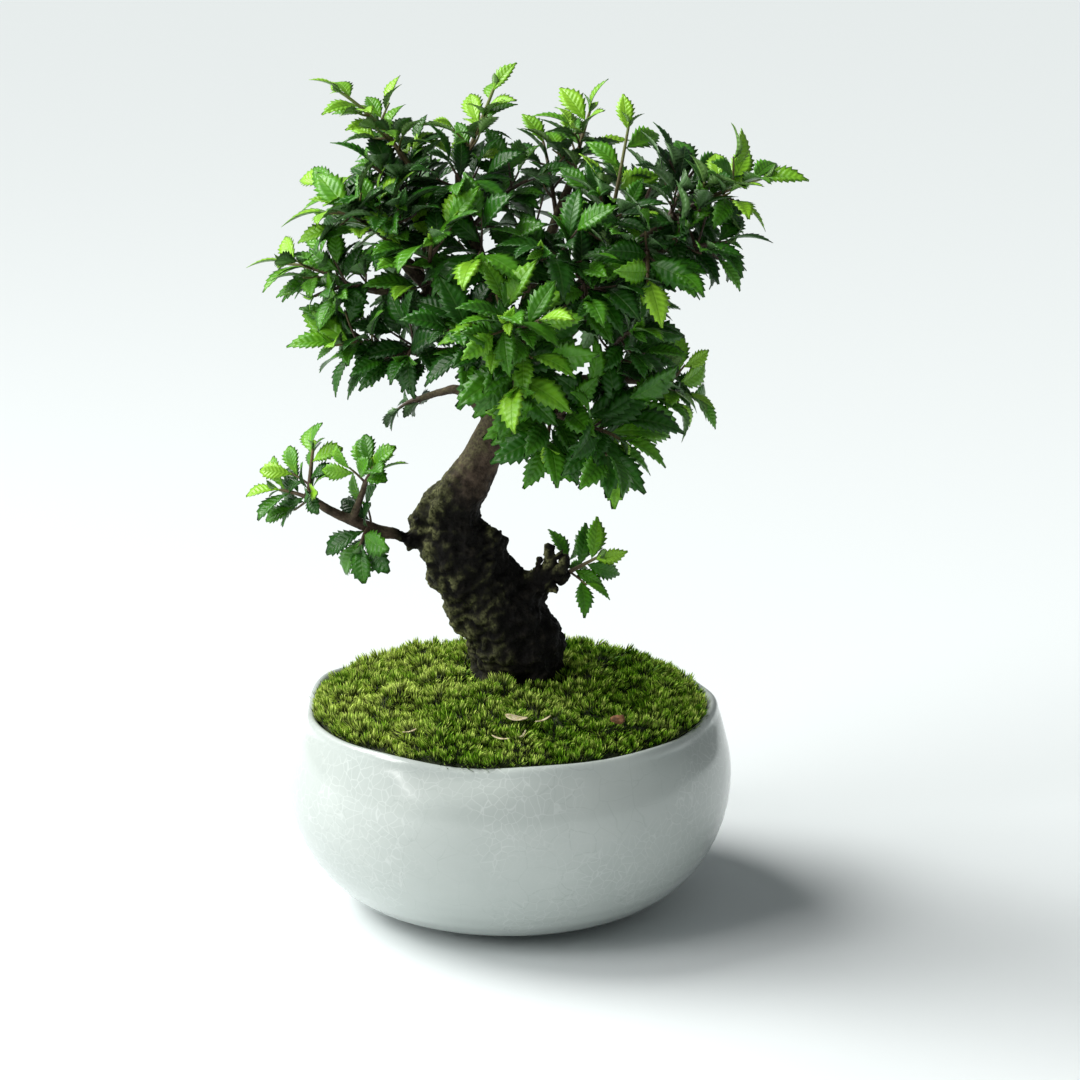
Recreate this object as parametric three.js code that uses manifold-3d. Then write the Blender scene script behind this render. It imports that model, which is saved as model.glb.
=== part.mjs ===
// A small-leaved elm bonsai in a round, low, inward-curving glazed pot, with a moss cover.
// Millimetres, +Z up. The origin is the centre of the pot's flat foot, on the surface it stands on.
// +X is the tree's right and -Y is its front.
// The tree's own points are drawn from the plane of the pot's rim, so the tree stays planted
// when the pot changes height.

import * as THREE from "three";
import { mergeVertices } from "three/addons/utils/BufferGeometryUtils.js";
import Module from "manifold-3d";

const wasm = await Module();
wasm.setup();

// ---------------------------------------------------------------- driving dimensions

const GAP = 0.3; // clearance between neighbouring pieces
const SLIVER = 0.01; // what a join or a cut leaves that is smaller than this is closed up

const POT_HEIGHT = 47.5;
const FOOT_RADIUS = 27;
const FOOT_STEP = 1.4; // the trimmed foot stands this far below the bowl
const BELLY_RADIUS = 52.6;
const BELLY_HEIGHT = 31;
const MOUTH_RADIUS = 46;
const DRAWN_MOUTH = 46; // the mouth for which the litter's places are given
const LIP_WIDTH = 2.7;
const LIP_DROP = 0.8; // from the rim's top down to the mouth's inner edge
const WALL = 5.5;
const FLOOR = 6;
const RIM_WAVE = 1.1; // how far the hand-thrown lip wanders sideways
const RIM_LIFT = 0.8; // and up and down, as a share of that
const DRAIN_HOLE_RADIUS = 2.4;
const DRAIN_HOLE_CIRCLE = 14;
const DRAIN_HOLES = 3;

const NET_RADIUS = 20;
const NET_THICKNESS = 0.8;
const NET_SLOT = 4;
const GRAVEL_DEPTH = 7;
const SOIL_BELOW_RIM = 4;
const SOIL_CROWN = 1.5; // how much higher the soil stands in the middle
const MOSS_EDGE = -0.8; // the moss's height at the wall, from the rim
const MOSS_DOME = 4.6; // and its rise from there to the middle

const TREE_HEIGHT = 149; // from the rim to the highest leaf tip
const DRAWN_HEIGHT = 149; // the height for which the points below are drawn
const TRUNK_GIRTH = 1; // multiplies every radius of the trunk and the limbs
const STEM_RADII = [0.62, 0.34];
const TWIG_RADII = [0.32, 0.26];
const LEAF_THICKNESS = 0.7;
const LEAF_WIDTH = 0.46; // share of the leaf's length
const LEAF_LENGTH = 13.5; // a full-grown leaf

// ---------------------------------------------------------------- colours

const finish = (color, roughness) => new THREE.MeshStandardMaterial({ color, roughness, metalness: 0 });
const glaze = finish(0xcdd6d1, 0.25);
const plastic = finish(0x1d1f1e, 0.6);
const gravel = finish(0x8d8578, 0.9);
const earth = finish(0x2a1f17, 0.95);
const moss = finish(0x5b8424, 0.9);
const bark = finish(0x3a2f24, 0.85);
const newLeaf = new THREE.Color(0x7fae38);
const oldLeaf = new THREE.Color(0x1f5420);
const foliage = (age) => finish(newLeaf.clone().lerp(oldLeaf, age), 0.45);
const straw = finish(0xc9b98c, 0.7);
const chip = finish(0x5a3520, 0.8);

// ---------------------------------------------------------------- helpers

const vector = (x, y, z) => new THREE.Vector3(x, y, z);
const radians = THREE.MathUtils.degToRad;

function solid(geometry) {
  const bare = geometry.clone();
  bare.deleteAttribute("normal");
  bare.deleteAttribute("uv");
  const shared = mergeVertices(bare, 1e-4);
  return new wasm.Manifold(new wasm.Mesh({
    numProp: 3,
    vertProperties: new Float32Array(shared.attributes.position.array),
    triVerts: new Uint32Array(shared.index.array),
  }));
}

function geometryOf(body) {
  const mesh = body.getMesh();
  const geometry = new THREE.BufferGeometry();
  geometry.setAttribute("position", new THREE.BufferAttribute(mesh.vertProperties, mesh.numProp));
  geometry.setIndex(new THREE.BufferAttribute(mesh.triVerts, 1));
  geometry.computeVertexNormals();
  return geometry;
}

const tree = new THREE.Group();

function piece(name, body, material) {
  const mesh = new THREE.Mesh(geometryOf(body.simplify(SLIVER)), material);
  mesh.name = name;
  tree.add(mesh);
}

const join = (bodies) => bodies.reduce((sum, body) => sum.add(body));

function moved(geometry, place) {
  const position = geometry.attributes.position;
  for (let i = 0; i < position.count; i += 1) {
    const point = place(vector(position.getX(i), position.getY(i), position.getZ(i)));
    position.setXYZ(i, point.x, point.y, point.z);
  }
  return geometry;
}

// Lathe profiles are drawn as (radius, height) and turned about +Z.
function turned(profile, segments) {
  const points = profile.map(([radius, height]) => new THREE.Vector2(radius, height));
  return new THREE.LatheGeometry(points, segments).rotateX(Math.PI / 2);
}

// ---------------------------------------------------------------- pot

const INNER_BELLY = BELLY_RADIUS - WALL;
const bowlAt = (height) => {
  // Inner wall radius at a height: from the floor corner out to the belly, then in to the mouth.
  const belly = BELLY_HEIGHT;
  if (height < belly) {
    const up = (height - FLOOR) / (belly - FLOOR);
    return FOOT_RADIUS + (INNER_BELLY - FOOT_RADIUS) * Math.sin(Math.sqrt(Math.max(up, 0)) * Math.PI / 2);
  }
  const up = (height - belly) / (POT_HEIGHT - belly);
  return INNER_BELLY + (MOUTH_RADIUS - INNER_BELLY) * up * up;
};

// The inner wall's corners, from the floor up to the mouth.
const wallHeights = [
  ...[0, 0.06, 0.25, 0.6, 1].map((share) => FLOOR + share * (BELLY_HEIGHT - FLOOR)),
  ...[0.4, 0.8].map((share) => BELLY_HEIGHT + share * (POT_HEIGHT - BELLY_HEIGHT)),
];

const wallCorners = [...wallHeights.map((height) => [bowlAt(height), height]), [MOUTH_RADIUS, POT_HEIGHT - LIP_DROP]];

// What fills the pot follows the wall's corners, a clearance inside it.
function fillWall(from, to, clearance) {
  const flat = (height) => {
    const above = Math.max(1, wallCorners.findIndex((corner) => corner[1] >= height - 1e-6));
    const [low, high] = [wallCorners[above - 1], wallCorners[above]];
    return THREE.MathUtils.mapLinear(height, low[1], high[1], low[0], high[0]);
  };
  const between = wallHeights.filter((height) => height > from + 0.5 && height < to - 0.5);
  return [from, ...between, to].map((height) => [flat(height) - clearance, height]);
}

const outerAt = (height) => {
  // Outer wall radius: a quarter-round from foot to belly, and a softer one from belly to lip.
  if (height < BELLY_HEIGHT) {
    const down = (BELLY_HEIGHT - height) / (BELLY_HEIGHT - FOOT_STEP);
    return FOOT_RADIUS + 1.5 + (BELLY_RADIUS - FOOT_RADIUS - 1.5) * Math.sqrt(1 - down * down);
  }
  const up = (height - BELLY_HEIGHT) / (POT_HEIGHT - 2 - BELLY_HEIGHT);
  return BELLY_RADIUS - (BELLY_RADIUS - MOUTH_RADIUS - LIP_WIDTH) * up * up;
};

const rimWave = (turn) => RIM_WAVE * (0.6 * Math.sin(5 * turn + 0.7) + 0.4 * Math.sin(9 * turn + 2.1));

function potBody() {
  const profile = [[0, 0], [FOOT_RADIUS, 0], [FOOT_RADIUS, FOOT_STEP]];
  for (const share of [0, 0.03, 0.1, 0.22, 0.38, 0.56, 0.78, 1]) {
    const height = FOOT_STEP + share * (BELLY_HEIGHT - FOOT_STEP);
    profile.push([outerAt(height), height]);
  }
  const shoulder = POT_HEIGHT - 2 - BELLY_HEIGHT;
  for (const share of [0.35, 0.7, 1]) {
    profile.push([outerAt(BELLY_HEIGHT + share * shoulder), BELLY_HEIGHT + share * shoulder]);
  }
  profile.push([MOUTH_RADIUS + LIP_WIDTH * 0.72, POT_HEIGHT - 0.5]);
  profile.push([MOUTH_RADIUS + LIP_WIDTH * 0.35, POT_HEIGHT]);
  wallCorners.toReversed().forEach((corner) => profile.push(corner));
  profile.push([0, FLOOR]);
  const bowl = moved(turned(profile, 36), (point) => {
    const radius = Math.hypot(point.x, point.y);
    const lip = THREE.MathUtils.smoothstep(point.z, POT_HEIGHT - 9, POT_HEIGHT);
    if (radius > bowlAt(point.z) + 0.5 && lip > 0) {
      const wave = lip * rimWave(Math.atan2(point.y, point.x));
      point.x *= 1 + wave / radius;
      point.y *= 1 + wave / radius;
      point.z += RIM_LIFT * wave;
    }
    return point;
  });
  const holes = [];
  for (let i = 0; i < DRAIN_HOLES; i += 1) {
    const turn = 2 * Math.PI * i / DRAIN_HOLES + Math.PI / 2;
    const drill = new THREE.CylinderGeometry(DRAIN_HOLE_RADIUS, DRAIN_HOLE_RADIUS, 3 * FLOOR, 12)
      .rotateX(Math.PI / 2)
      .translate(DRAIN_HOLE_CIRCLE * Math.cos(turn), DRAIN_HOLE_CIRCLE * Math.sin(turn), 0);
    holes.push(solid(drill));
  }
  return solid(bowl).subtract(join(holes));
}

// ---------------------------------------------------------------- filling

function netBody() {
  const disc = new THREE.CylinderGeometry(NET_RADIUS, NET_RADIUS, NET_THICKNESS, 32).rotateX(Math.PI / 2);
  const pitch = 2 * NET_SLOT;
  const reach = Math.floor((NET_RADIUS - NET_SLOT) / pitch);
  const slots = [];
  for (let row = -reach; row <= reach; row += 1) {
    for (let column = -reach; column <= reach; column += 1) {
      const [x, y] = [row * pitch, column * pitch];
      if (Math.hypot(x, y) < NET_RADIUS - NET_SLOT) {
        slots.push(solid(new THREE.BoxGeometry(NET_SLOT, NET_SLOT, 3 * NET_THICKNESS).translate(x, y, 0)));
      }
    }
  }
  return solid(disc).subtract(join(slots)).translate(0, 0, FLOOR + GAP + NET_THICKNESS / 2);
}

const gravelTop = FLOOR + GRAVEL_DEPTH;
const soilEdge = POT_HEIGHT - SOIL_BELOW_RIM;

function gravelBody() {
  const net = FLOOR + NET_THICKNESS + 2 * GAP;
  const rim = NET_RADIUS + GAP;
  const wall = fillWall(FLOOR + GAP, gravelTop, 2 * GAP);
  return solid(turned([[0, net], [rim, net], [rim, FLOOR + GAP], ...wall, [0, gravelTop]], 24));
}

const soilRings = [0, 0.3, 0.6]; // shares of the radius at which the soil's top bends
const soilAt = (radius) => soilEdge + SOIL_CROWN * (1 - (radius / MOUTH_RADIUS) ** 2);

function soilBody() {
  const bottom = gravelTop + GAP;
  const wall = fillWall(bottom, soilEdge, 2 * GAP);
  const edge = wall.at(-1)[0];
  const profile = [[0, bottom], ...wall];
  soilRings.toReversed().forEach((share) => profile.push([share * edge, soilAt(share * edge)]));
  return solid(turned(profile, 24));
}

// The moss is one low dome, cut into the three cushions it was laid as.
const mossRadius = MOUTH_RADIUS - GAP;
const hump = (x, y, atX, atY, spread) => Math.exp(-((x - atX) ** 2 + (y - atY) ** 2) / (2 * spread * spread));

function mossAt(x, y) {
  const inward = Math.max(0, 1 - (x * x + y * y) / (mossRadius * mossRadius));
  const mounds = hump(x, y, -10, -15, 13) + 2.2 * hump(x, y, -17, 27, 11) + 2.4 * hump(x, y, 21, 22, 12)
    - 1.6 * hump(x, y, -22, 9, 6) - 1.0 * hump(x, y, 30, -2, 6);
  return POT_HEIGHT + MOSS_EDGE + MOSS_DOME * inward ** 0.7 + mounds * Math.min(1, 3 * inward);
}

function mossDome() {
  const rings = [1, 0.93, 0.8, 0.62, 0.42, 0.2, 0];
  const edge = fillWall(gravelTop + GAP, soilEdge, 2 * GAP).at(-1)[0];
  const profile = [...soilRings.map((share) => [share * edge, 0]), [mossRadius - 1.2, 0]];
  rings.forEach((share) => profile.push([share * mossRadius, 10]));
  const dome = moved(turned(profile, 36), (point) => {
    if (point.z > 5) {
      point.z = mossAt(point.x, point.y);
    } else {
      point.z = soilAt(Math.hypot(point.x, point.y)) + GAP;
    }
    return point;
  });
  return solid(dome);
}

// ---------------------------------------------------------------- wood

// Each limb: the points its middle line runs through, (x, y, height above the rim), and its
// radius at each point. The first point lies inside the wood that it grows from.
const growth = TREE_HEIGHT / DRAWN_HEIGHT;

const LIMBS = {
  trunk: {
    points: [[2.6, 7, -9], [2, 6.5, 1.8], [1, 6, 13.2], [-3.4, 5, 22], [-8.2, 4, 30], [-12.6, 3, 38],
      [-13.6, 2.5, 44.6], [-10.6, 2, 50.8], [-6.6, 1.5, 58], [-4.2, 1, 63.7], [-1.8, 0.5, 69], [0, 0, 74]],
    radii: [11.4, 10.8, 10.9, 10.2, 9.8, 9.2, 7.8, 5.9, 4.7, 4.1, 3.7, 3.2],
    sides: 10,
  },
  left: {
    points: [[-1, 0, 70], [-6.8, -4, 85.2], [-14.2, -6, 96], [-23.1, -6, 105.8], [-27.6, -4, 111.6]],
    radii: [2.8, 2.2, 1.8, 1.4, 1],
  },
  low_left: { points: [[-6.5, -4, 85], [-17.7, -7, 85.2], [-27.1, -9, 87.6]], radii: [1.6, 1.3, 0.9] },
  far_left: { points: [[-14.2, -6, 96], [-24.4, -8, 98.8], [-36.6, -5, 100.4]], radii: [1.5, 1.2, 0.8] },
  top_left: { points: [[-14.5, -6, 96.5], [-18.3, 3, 111.2], [-21.9, 8, 125.8]], radii: [1.5, 1.2, 0.8] },
  top_centre: {
    points: [[-1, 0, 71], [-3.5, 2, 90], [-6.4, 4, 104.6], [-10.5, 6, 118.1], [-11.4, 6, 124.5]],
    radii: [2.7, 2.1, 1.7, 1.2, 0.9],
  },
  right: {
    points: [[-0.5, 0, 71], [8.4, -2, 89.5], [20.9, -4, 103.6], [32.1, -4, 111.6], [41, -4, 118.2]],
    radii: [3, 2.5, 1.9, 1.4, 1],
  },
  right_twig: { points: [[24, -4, 106], [30, -8, 109], [37, -11, 109.4]], radii: [1.4, 1.1, 0.8] },
  low_right: { points: [[-0.5, 0, 71.5], [11.9, -4, 77.1], [23.3, -4, 78.7], [32.1, 0, 77]], radii: [2.2, 1.7, 1.3, 0.9] },
  front: { points: [[-1, 0, 72], [-0.6, -14, 82.6], [1.8, -26, 90.7]], radii: [2.2, 1.6, 0.9] },
  front_low: { points: [[-0.5, 0, 71.5], [8.4, -14, 74.6], [17, -21, 70]], radii: [1.8, 1.4, 0.8] },
  back: { points: [[-0.5, 0, 71], [2.6, 14, 86.4], [8.5, 24, 103.6], [15.5, 28, 122]], radii: [2.6, 2, 1.5, 0.9] },
  back_left: { points: [[-1, 1, 71], [-13.9, 20, 87.7], [-23.4, 26, 100.9]], radii: [2.2, 1.5, 0.9] },
  back_right: { points: [[-0.5, 1, 72], [12, 14, 84], [23.9, 26, 93.4], [35.9, 30, 102.4]], radii: [2.3, 1.8, 1.4, 0.9] },
  inner: { points: [[-3, 1, 67], [-10.8, 6, 73.5], [-16, 10, 72.5], [-22.1, 14, 69.7]], radii: [1.6, 1.2, 1, 0.8] },
  lower_left: {
    points: [[-15, 2, 41], [-20.7, 0, 39.4], [-25.7, -2, 41.6], [-29.8, -3, 42.4], [-36.2, -4, 45.3],
      [-42.1, -4, 48.1], [-46.9, -4, 51.9]],
    radii: [2.6, 2.1, 1.7, 1.5, 1.3, 1.1, 0.8],
  },
  lower_left_twig: { points: [[-36.2, -4, 45.3], [-33.9, -8, 51.5], [-32.5, -9, 56]], radii: [1, 0.9, 0.7] },
  stub: { points: [[0, 4, 20], [4.6, 4.5, 26.6], [8.8, 5, 30], [13.4, 5.5, 29.4]], radii: [5, 3.8, 2.3, 1.2] },
  stub_spur: { points: [[7.5, 4.6, 29.6], [9.8, 3.6, 33.5], [9.2, 3.4, 37.6]], radii: [1.8, 1.2, 0.8] },
  stub_fork: { points: [[8.2, 4.6, 30], [12.4, 3, 32.4], [13, 2.6, 35.2]], radii: [1.6, 1.1, 0.7] },
  root_left: { points: [[3, 6.5, -1], [-9, 4, -8], [-24, 2, -16]], radii: [6, 3.6, 1.6] },
  root_front: { points: [[3, 6.5, -1], [0, -8, -8], [-4, -24, -18]], radii: [6, 3.4, 1.5] },
  root_right: { points: [[3, 6.5, -1], [16, 1, -8], [30, -6, -17]], radii: [6, 3.4, 1.5] },
  root_back: { points: [[3, 6.5, -1], [8, 18, -8], [14, 30, -18]], radii: [6, 3.2, 1.4] },
  tap_root: { points: [[3, 6.5, -2], [2, 5, -14], [0, 3, -25]], radii: [8, 4.5, 1.8] },
};

// Old pruning scars and burrs that stand out of the trunk: middle, and half-sizes.
const BURRS = [
  [[-18.2, 2, 43.6], [5.6, 5.2, 4.6]],
  [[-6, 1.6, 37.4], [5.2, 5, 5]],
  [[9.6, 6, 11], [3.4, 4.8, 7]],
  [[-10.5, -3.2, 31], [4.2, 3, 5.4]],
];

const planted = ([x, y, height]) => vector(x * growth, y * growth, POT_HEIGHT + height * growth);
const middleLine = (limb) => new THREE.CatmullRomCurve3(limb.points.map(planted), false, "catmullrom", 0.5);

function radiusAlong(radii, along) {
  const place = along * (radii.length - 1);
  const before = Math.min(Math.floor(place), radii.length - 2);
  return THREE.MathUtils.lerp(radii[before], radii[before + 1], place - before);
}

const evenly = (steps) => Array.from({ length: steps + 1 }, (_, i) => i / steps);

// A round rod whose middle follows the path: a straight cylinder, bent ring by ring, with a ring
// at each of the places along the path.
function rod(path, radii, sides, places, extra = 0) {
  const steps = places.length - 1;
  let side = Math.abs(path.getTangent(0).x) < 0.8 ? vector(1, 0, 0) : vector(0, 1, 0);
  const rings = places.map((along, i) => {
    const middle = path.getPoint(along);
    const tangent = path.getTangent(along);
    side = side.clone().addScaledVector(tangent, -side.dot(tangent)).normalize();
    const front = side.clone().cross(tangent);
    const reach = (i === steps ? extra : 0) - (i === 0 ? extra : 0);
    middle.addScaledVector(tangent, reach);
    return { middle, side, front, radius: radiusAlong(radii, along) + extra };
  });
  return moved(new THREE.CylinderGeometry(1, 1, 1, sides, steps), (point) => {
    const ring = rings[Math.round((point.y + 0.5) * steps)];
    return ring.middle.clone()
      .addScaledVector(ring.side, point.x * ring.radius)
      .addScaledVector(ring.front, point.z * ring.radius);
  });
}

const paths = Object.fromEntries(Object.entries(LIMBS).map(([name, limb]) => [name, middleLine(limb)]));

function woodParts(extra) {
  const parts = Object.entries(LIMBS).map(([name, limb]) => {
    const girths = limb.radii.map((radius) => radius * TRUNK_GIRTH);
    const places = evenly(limb.points.length + 1);
    return solid(rod(paths[name], girths, limb.sides ?? 5, places, extra));
  });
  for (const [middle, half] of BURRS) {
    const at = planted(middle);
    const burr = new THREE.SphereGeometry(1, 8, 6).rotateX(Math.PI / 2)
      .scale(half[0] * TRUNK_GIRTH + extra, half[1] * TRUNK_GIRTH + extra, half[2] * TRUNK_GIRTH + extra)
      .translate(at.x, at.y, at.z);
    parts.push(solid(burr));
  }
  return parts;
}

// ---------------------------------------------------------------- leafy shoots

// Each shoot: its node's name, the limb it springs from and how far along, its tip (x, y, height
// above the rim), how far its middle bows upwards, its leaves, the size of its leaves against a
// full-grown one, its age, 0 for this week's growth to 1 for last year's, and its side twigs.
const SHOOTS = [
  ["shoot_top_left_arch", "top_left", 0.95, [-38, 8, 142.4], 4, 6, 0.78, 0.2, 1],
  ["shoot_top_left_back", "top_left", 0.8, [-30, 18, 134], 3, 5, 0.8, 0.6, 1],
  ["shoot_top_left_front", "top_left", 0.62, [-30.5, 1, 126.5], 2, 5, 0.95, 0.8, 1],
  ["shoot_top_centre_spire", "top_centre", 0.95, [-3.1, 8, 143.3], 0, 6, 0.8, 0.25, 1],
  ["shoot_top_centre_front", "top_centre", 0.72, [-9.5, -8, 124], 3, 5, 0.95, 0.8, 2],
  ["shoot_top_centre_right", "top_centre", 0.62, [7, 2, 124], 4, 5, 0.9, 0.7, 2],
  ["shoot_top_back_spire", "back", 0.95, [19, 30, 135.5], 1, 5, 0.9, 0.35, 1],
  ["shoot_top_back_left", "back", 0.8, [8, 35, 128], 3, 5, 0.85, 0.6, 1],
  ["shoot_top_right_spire", "right", 0.5, [27.4, 8, 134.5], -2, 6, 0.9, 0.3, 1],
  ["shoot_top_right_front", "right", 0.55, [20.6, -14, 122], 4, 5, 0.95, 0.8, 2],
  ["shoot_top_right_back", "back_right", 0.7, [34, 14, 122.5], 3, 6, 0.95, 0.8, 1],
  ["shoot_right_long", "right", 0.98, [57, -6, 124.7], 1, 6, 0.95, 0.35, 1],
  ["shoot_right_upper", "right", 0.85, [42, 3, 125], 2, 5, 1, 0.85, 1],
  ["shoot_right_under", "right", 0.9, [42, -10, 110.5], 3, 5, 0.9, 0.9, 1],
  ["shoot_right_twig", "right_twig", 0.95, [49, -12, 111.4], 0, 5, 0.95, 0.8, 1],
  ["shoot_right_face", "right_twig", 0.6, [31, -22, 104], 4, 5, 1, 0.5, 2],
  ["shoot_right_low", "right", 0.62, [31, -8, 97], 4, 5, 0.95, 0.9, 2],
  ["shoot_right_back", "back_right", 0.95, [44, 30, 106], 2, 5, 0.95, 0.8, 1],
  ["shoot_far_left_tip", "far_left", 0.95, [-50, -2, 104.8], 2, 6, 0.85, 0.35, 1],
  ["shoot_far_left_low", "far_left", 0.7, [-43, -14, 99.5], 3, 5, 0.85, 0.7, 1],
  ["shoot_left_upper", "left", 0.97, [-40, -7, 117], 4, 5, 1, 0.45, 2],
  ["shoot_left_top_bright", "left", 0.85, [-41, 10.5, 122], 4, 5, 0.85, 0.2, 1],
  ["shoot_left_inner_up", "left", 0.9, [-24, -12, 119], 2, 5, 0.95, 0.8, 1],
  ["shoot_low_left_fan", "low_left", 0.95, [-38.5, -14.5, 88.5], 1, 6, 1, 0.5, 1],
  ["shoot_low_left_inner", "low_left", 0.6, [-22, -20, 87], 3, 5, 1, 0.9, 2],
  ["shoot_left_front", "left", 0.6, [-16.5, -21, 113], 3, 5, 1.1, 0.6, 2],
  ["shoot_front_upper", "top_centre", 0.45, [-6, -26, 109.5], 6, 5, 1.15, 0.55, 2],
  ["shoot_front_centre", "front", 0.95, [0.4, -37, 98], 3, 5, 1.1, 0.5, 2],
  ["shoot_front_left", "front", 0.7, [-13, -31, 95], 3, 5, 1.05, 0.85, 2],
  ["shoot_front_lower", "front", 0.6, [2.5, -35, 83.5], 4, 6, 1.2, 0.55, 2],
  ["shoot_front_right_upper", "right", 0.4, [8, -25, 111.5], 5, 5, 1.1, 0.8, 2],
  ["shoot_front_right", "right", 0.42, [17.5, -28, 101], 4, 5, 1.1, 0.75, 2],
  ["shoot_right_cluster", "low_right", 0.6, [28, -22, 93], 6, 6, 1.05, 0.7, 2],
  ["shoot_low_right_bend", "low_right", 0.95, [44, 2, 72], 3, 6, 0.85, 0.45, 1],
  ["shoot_hanging_front", "front_low", 0.95, [25, -26, 69.5], 2, 6, 1.25, 0.55, 2],
  ["shoot_hanging_centre", "front_low", 0.6, [9, -27, 69], 2, 5, 1.1, 0.6, 2],
  ["shoot_hanging_right", "low_right", 0.7, [28, -12, 73], 3, 5, 0.95, 0.7, 1],
  ["shoot_back_middle", "back", 0.7, [-6, 36, 113], 4, 6, 1, 0.8, 1],
  ["shoot_back_left_tip", "back_left", 0.95, [-34, 28, 110], 3, 6, 1, 0.7, 1],
  ["shoot_back_left_low", "back_left", 0.7, [-26, 32, 88], 3, 5, 1.05, 0.85, 1],
  ["shoot_back_left_up", "back_left", 0.85, [-18, 30, 122], 4, 5, 0.95, 0.7, 1],
  ["shoot_back_right_low", "back_right", 0.6, [26, 36, 84], 4, 5, 1.1, 0.85, 1],
  ["shoot_back_right_up", "back_right", 0.85, [28, 36, 116], 4, 6, 1, 0.7, 1],
  ["shoot_inner_left", "inner", 0.9, [-26, 15, 67.5], 1, 4, 0.6, 0.9, 0],
  ["shoot_lower_left_up", "lower_left", 0.97, [-44.8, -4, 62.3], 1, 5, 0.72, 0.45, 0],
  ["shoot_lower_left_tip", "lower_left", 0.9, [-53, -2, 52], 1, 5, 0.72, 0.5, 0],
  ["shoot_lower_left_twig", "lower_left_twig", 0.9, [-30.6, -10, 59.5], 0, 5, 0.72, 0.45, 0],
  ["shoot_lower_left_low", "lower_left", 0.55, [-34, -9, 40.5], 3, 5, 0.85, 0.7, 0],
  ["shoot_right_stub", "stub", 0.95, [20.7, 5, 33.9], 0, 5, 0.78, 0.4, 0],
];

const BOWS = [0, 4, -4, 8]; // other bows tried when a stem would touch its neighbour
const FORKS = [[48, 1], [48, -1], [70, 1], [70, -1]]; // the ways a side twig may leave its stem
const TURNS = [[54, 32], [40, 18], [68, 46], [50, -8], [82, 58], [30, 48], [62, 76], [20, 0]];
const BARE_STEM = 0.3; // share of a stem below its first leaf
const BARE_TWIG = 0.6; // and of a side twig
const TWIG_LENGTH = 8.5;
const TWIG_LEAVES = 2;
const TWIG_LEAF = 0.85; // a side twig's leaves against its shoot's
const STEM_SIDES = 4;
const TWIG_SIDES = 3;
const TIP_SEAT = 1; // how far down its stem the last leaf's foot reaches
const CROWN_MIDDLE = [0, 0, 88];

const crownMiddle = planted(CROWN_MIDDLE);

function stemPath(limb, along, tip, rise) {
  const start = paths[limb].getPoint(along);
  const end = planted(tip);
  const middle = start.clone().lerp(end, 0.5);
  middle.z += rise;
  return new THREE.QuadraticBezierCurve3(start, middle, end);
}

const nodeAt = (stem, i) => stem.bare + (1 - stem.bare) * i / (stem.leaves - 1);

// The way up, towards the light, and the way across a stem at a point of it.
function sidesOf(stem, along) {
  const foot = stem.path.getPoint(along);
  const tangent = stem.path.getTangent(along);
  const light = foot.clone().sub(crownMiddle).normalize().multiplyScalar(0.7).add(vector(0, -0.25, 0.8));
  const up = light.addScaledVector(tangent, -light.dot(tangent)).normalize();
  return { foot, tangent, up, across: tangent.clone().cross(up) };
}

// A side twig leaves its stem where a leaf does, on the leaf's other side.
function twigOf(stem, i, [fork, hand]) {
  const { foot, tangent, up, across } = sidesOf(stem, nodeAt(stem, i));
  const sign = hand * ((i + stem.number) % 2 === 0 ? -1 : 1);
  const away = tangent.multiplyScalar(Math.cos(radians(fork)))
    .addScaledVector(across, sign * Math.sin(radians(fork)));
  const length = TWIG_LENGTH * stem.size;
  const middle = foot.clone().addScaledVector(away, length / 2);
  const tip = foot.clone().addScaledVector(away, length).addScaledVector(up, 0.18 * length);
  const path = new THREE.QuadraticBezierCurve3(foot, middle, tip);
  const size = stem.size * TWIG_LEAF;
  const number = stem.number + i + 1;
  return { path, leaves: TWIG_LEAVES, size, number, bare: BARE_TWIG, radii: TWIG_RADII, sides: TWIG_SIDES };
}

// Where leaf number i of a stem stands: its foot, the way it points and the way it faces.
function leafStand(stem, i, [turn, tilt]) {
  const { foot, tangent, up, across } = sidesOf(stem, nodeAt(stem, i));
  const last = i === stem.leaves - 1;
  const roll = 0.5 * Math.sin(2.4 * i + 1.7 * stem.number);
  const side = across.clone().multiplyScalar(Math.cos(roll)).addScaledVector(up, Math.sin(roll));
  const top = up.clone().multiplyScalar(Math.cos(roll)).addScaledVector(across, -Math.sin(roll));
  const spread = radians(last ? turn * 0.3 : turn);
  const sign = (i + stem.number) % 2 === 0 ? 1 : -1;
  const pointing = tangent.clone().multiplyScalar(Math.cos(spread)).addScaledVector(side, sign * Math.sin(spread));
  const toTip = tangent.clone().addScaledVector(pointing, -tangent.dot(pointing));
  const lean = radians(last ? 0 : tilt);
  const face = top.clone().multiplyScalar(Math.cos(lean));
  if (toTip.length() > 0.05) {
    face.addScaledVector(toTip.normalize(), Math.sin(lean));
  }
  face.addScaledVector(pointing, -face.dot(pointing)).normalize();
  const share = (i + 1) / (stem.leaves + 1);
  const grown = 0.68 + 0.32 * Math.sin(Math.PI * share) + 0.08 * Math.sin(3.1 * i + stem.number);
  foot.addScaledVector(tangent, last ? -TIP_SEAT : 0);
  return { foot, pointing, face, length: LEAF_LENGTH * stem.size * grown };
}

// A stem has a ring at each of its leaves.
function stemBody(stem, room) {
  const places = [0, ...Array.from({ length: stem.leaves }, (_, i) => nodeAt(stem, i))];
  return solid(rod(stem.path, stem.radii, stem.sides, places, room));
}

const LEAF_ARCH = 0.07; // rise of the midrib, and
const LEAF_DROOP = 0.14; // fall of the tip, as shares of the leaf's length

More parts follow.
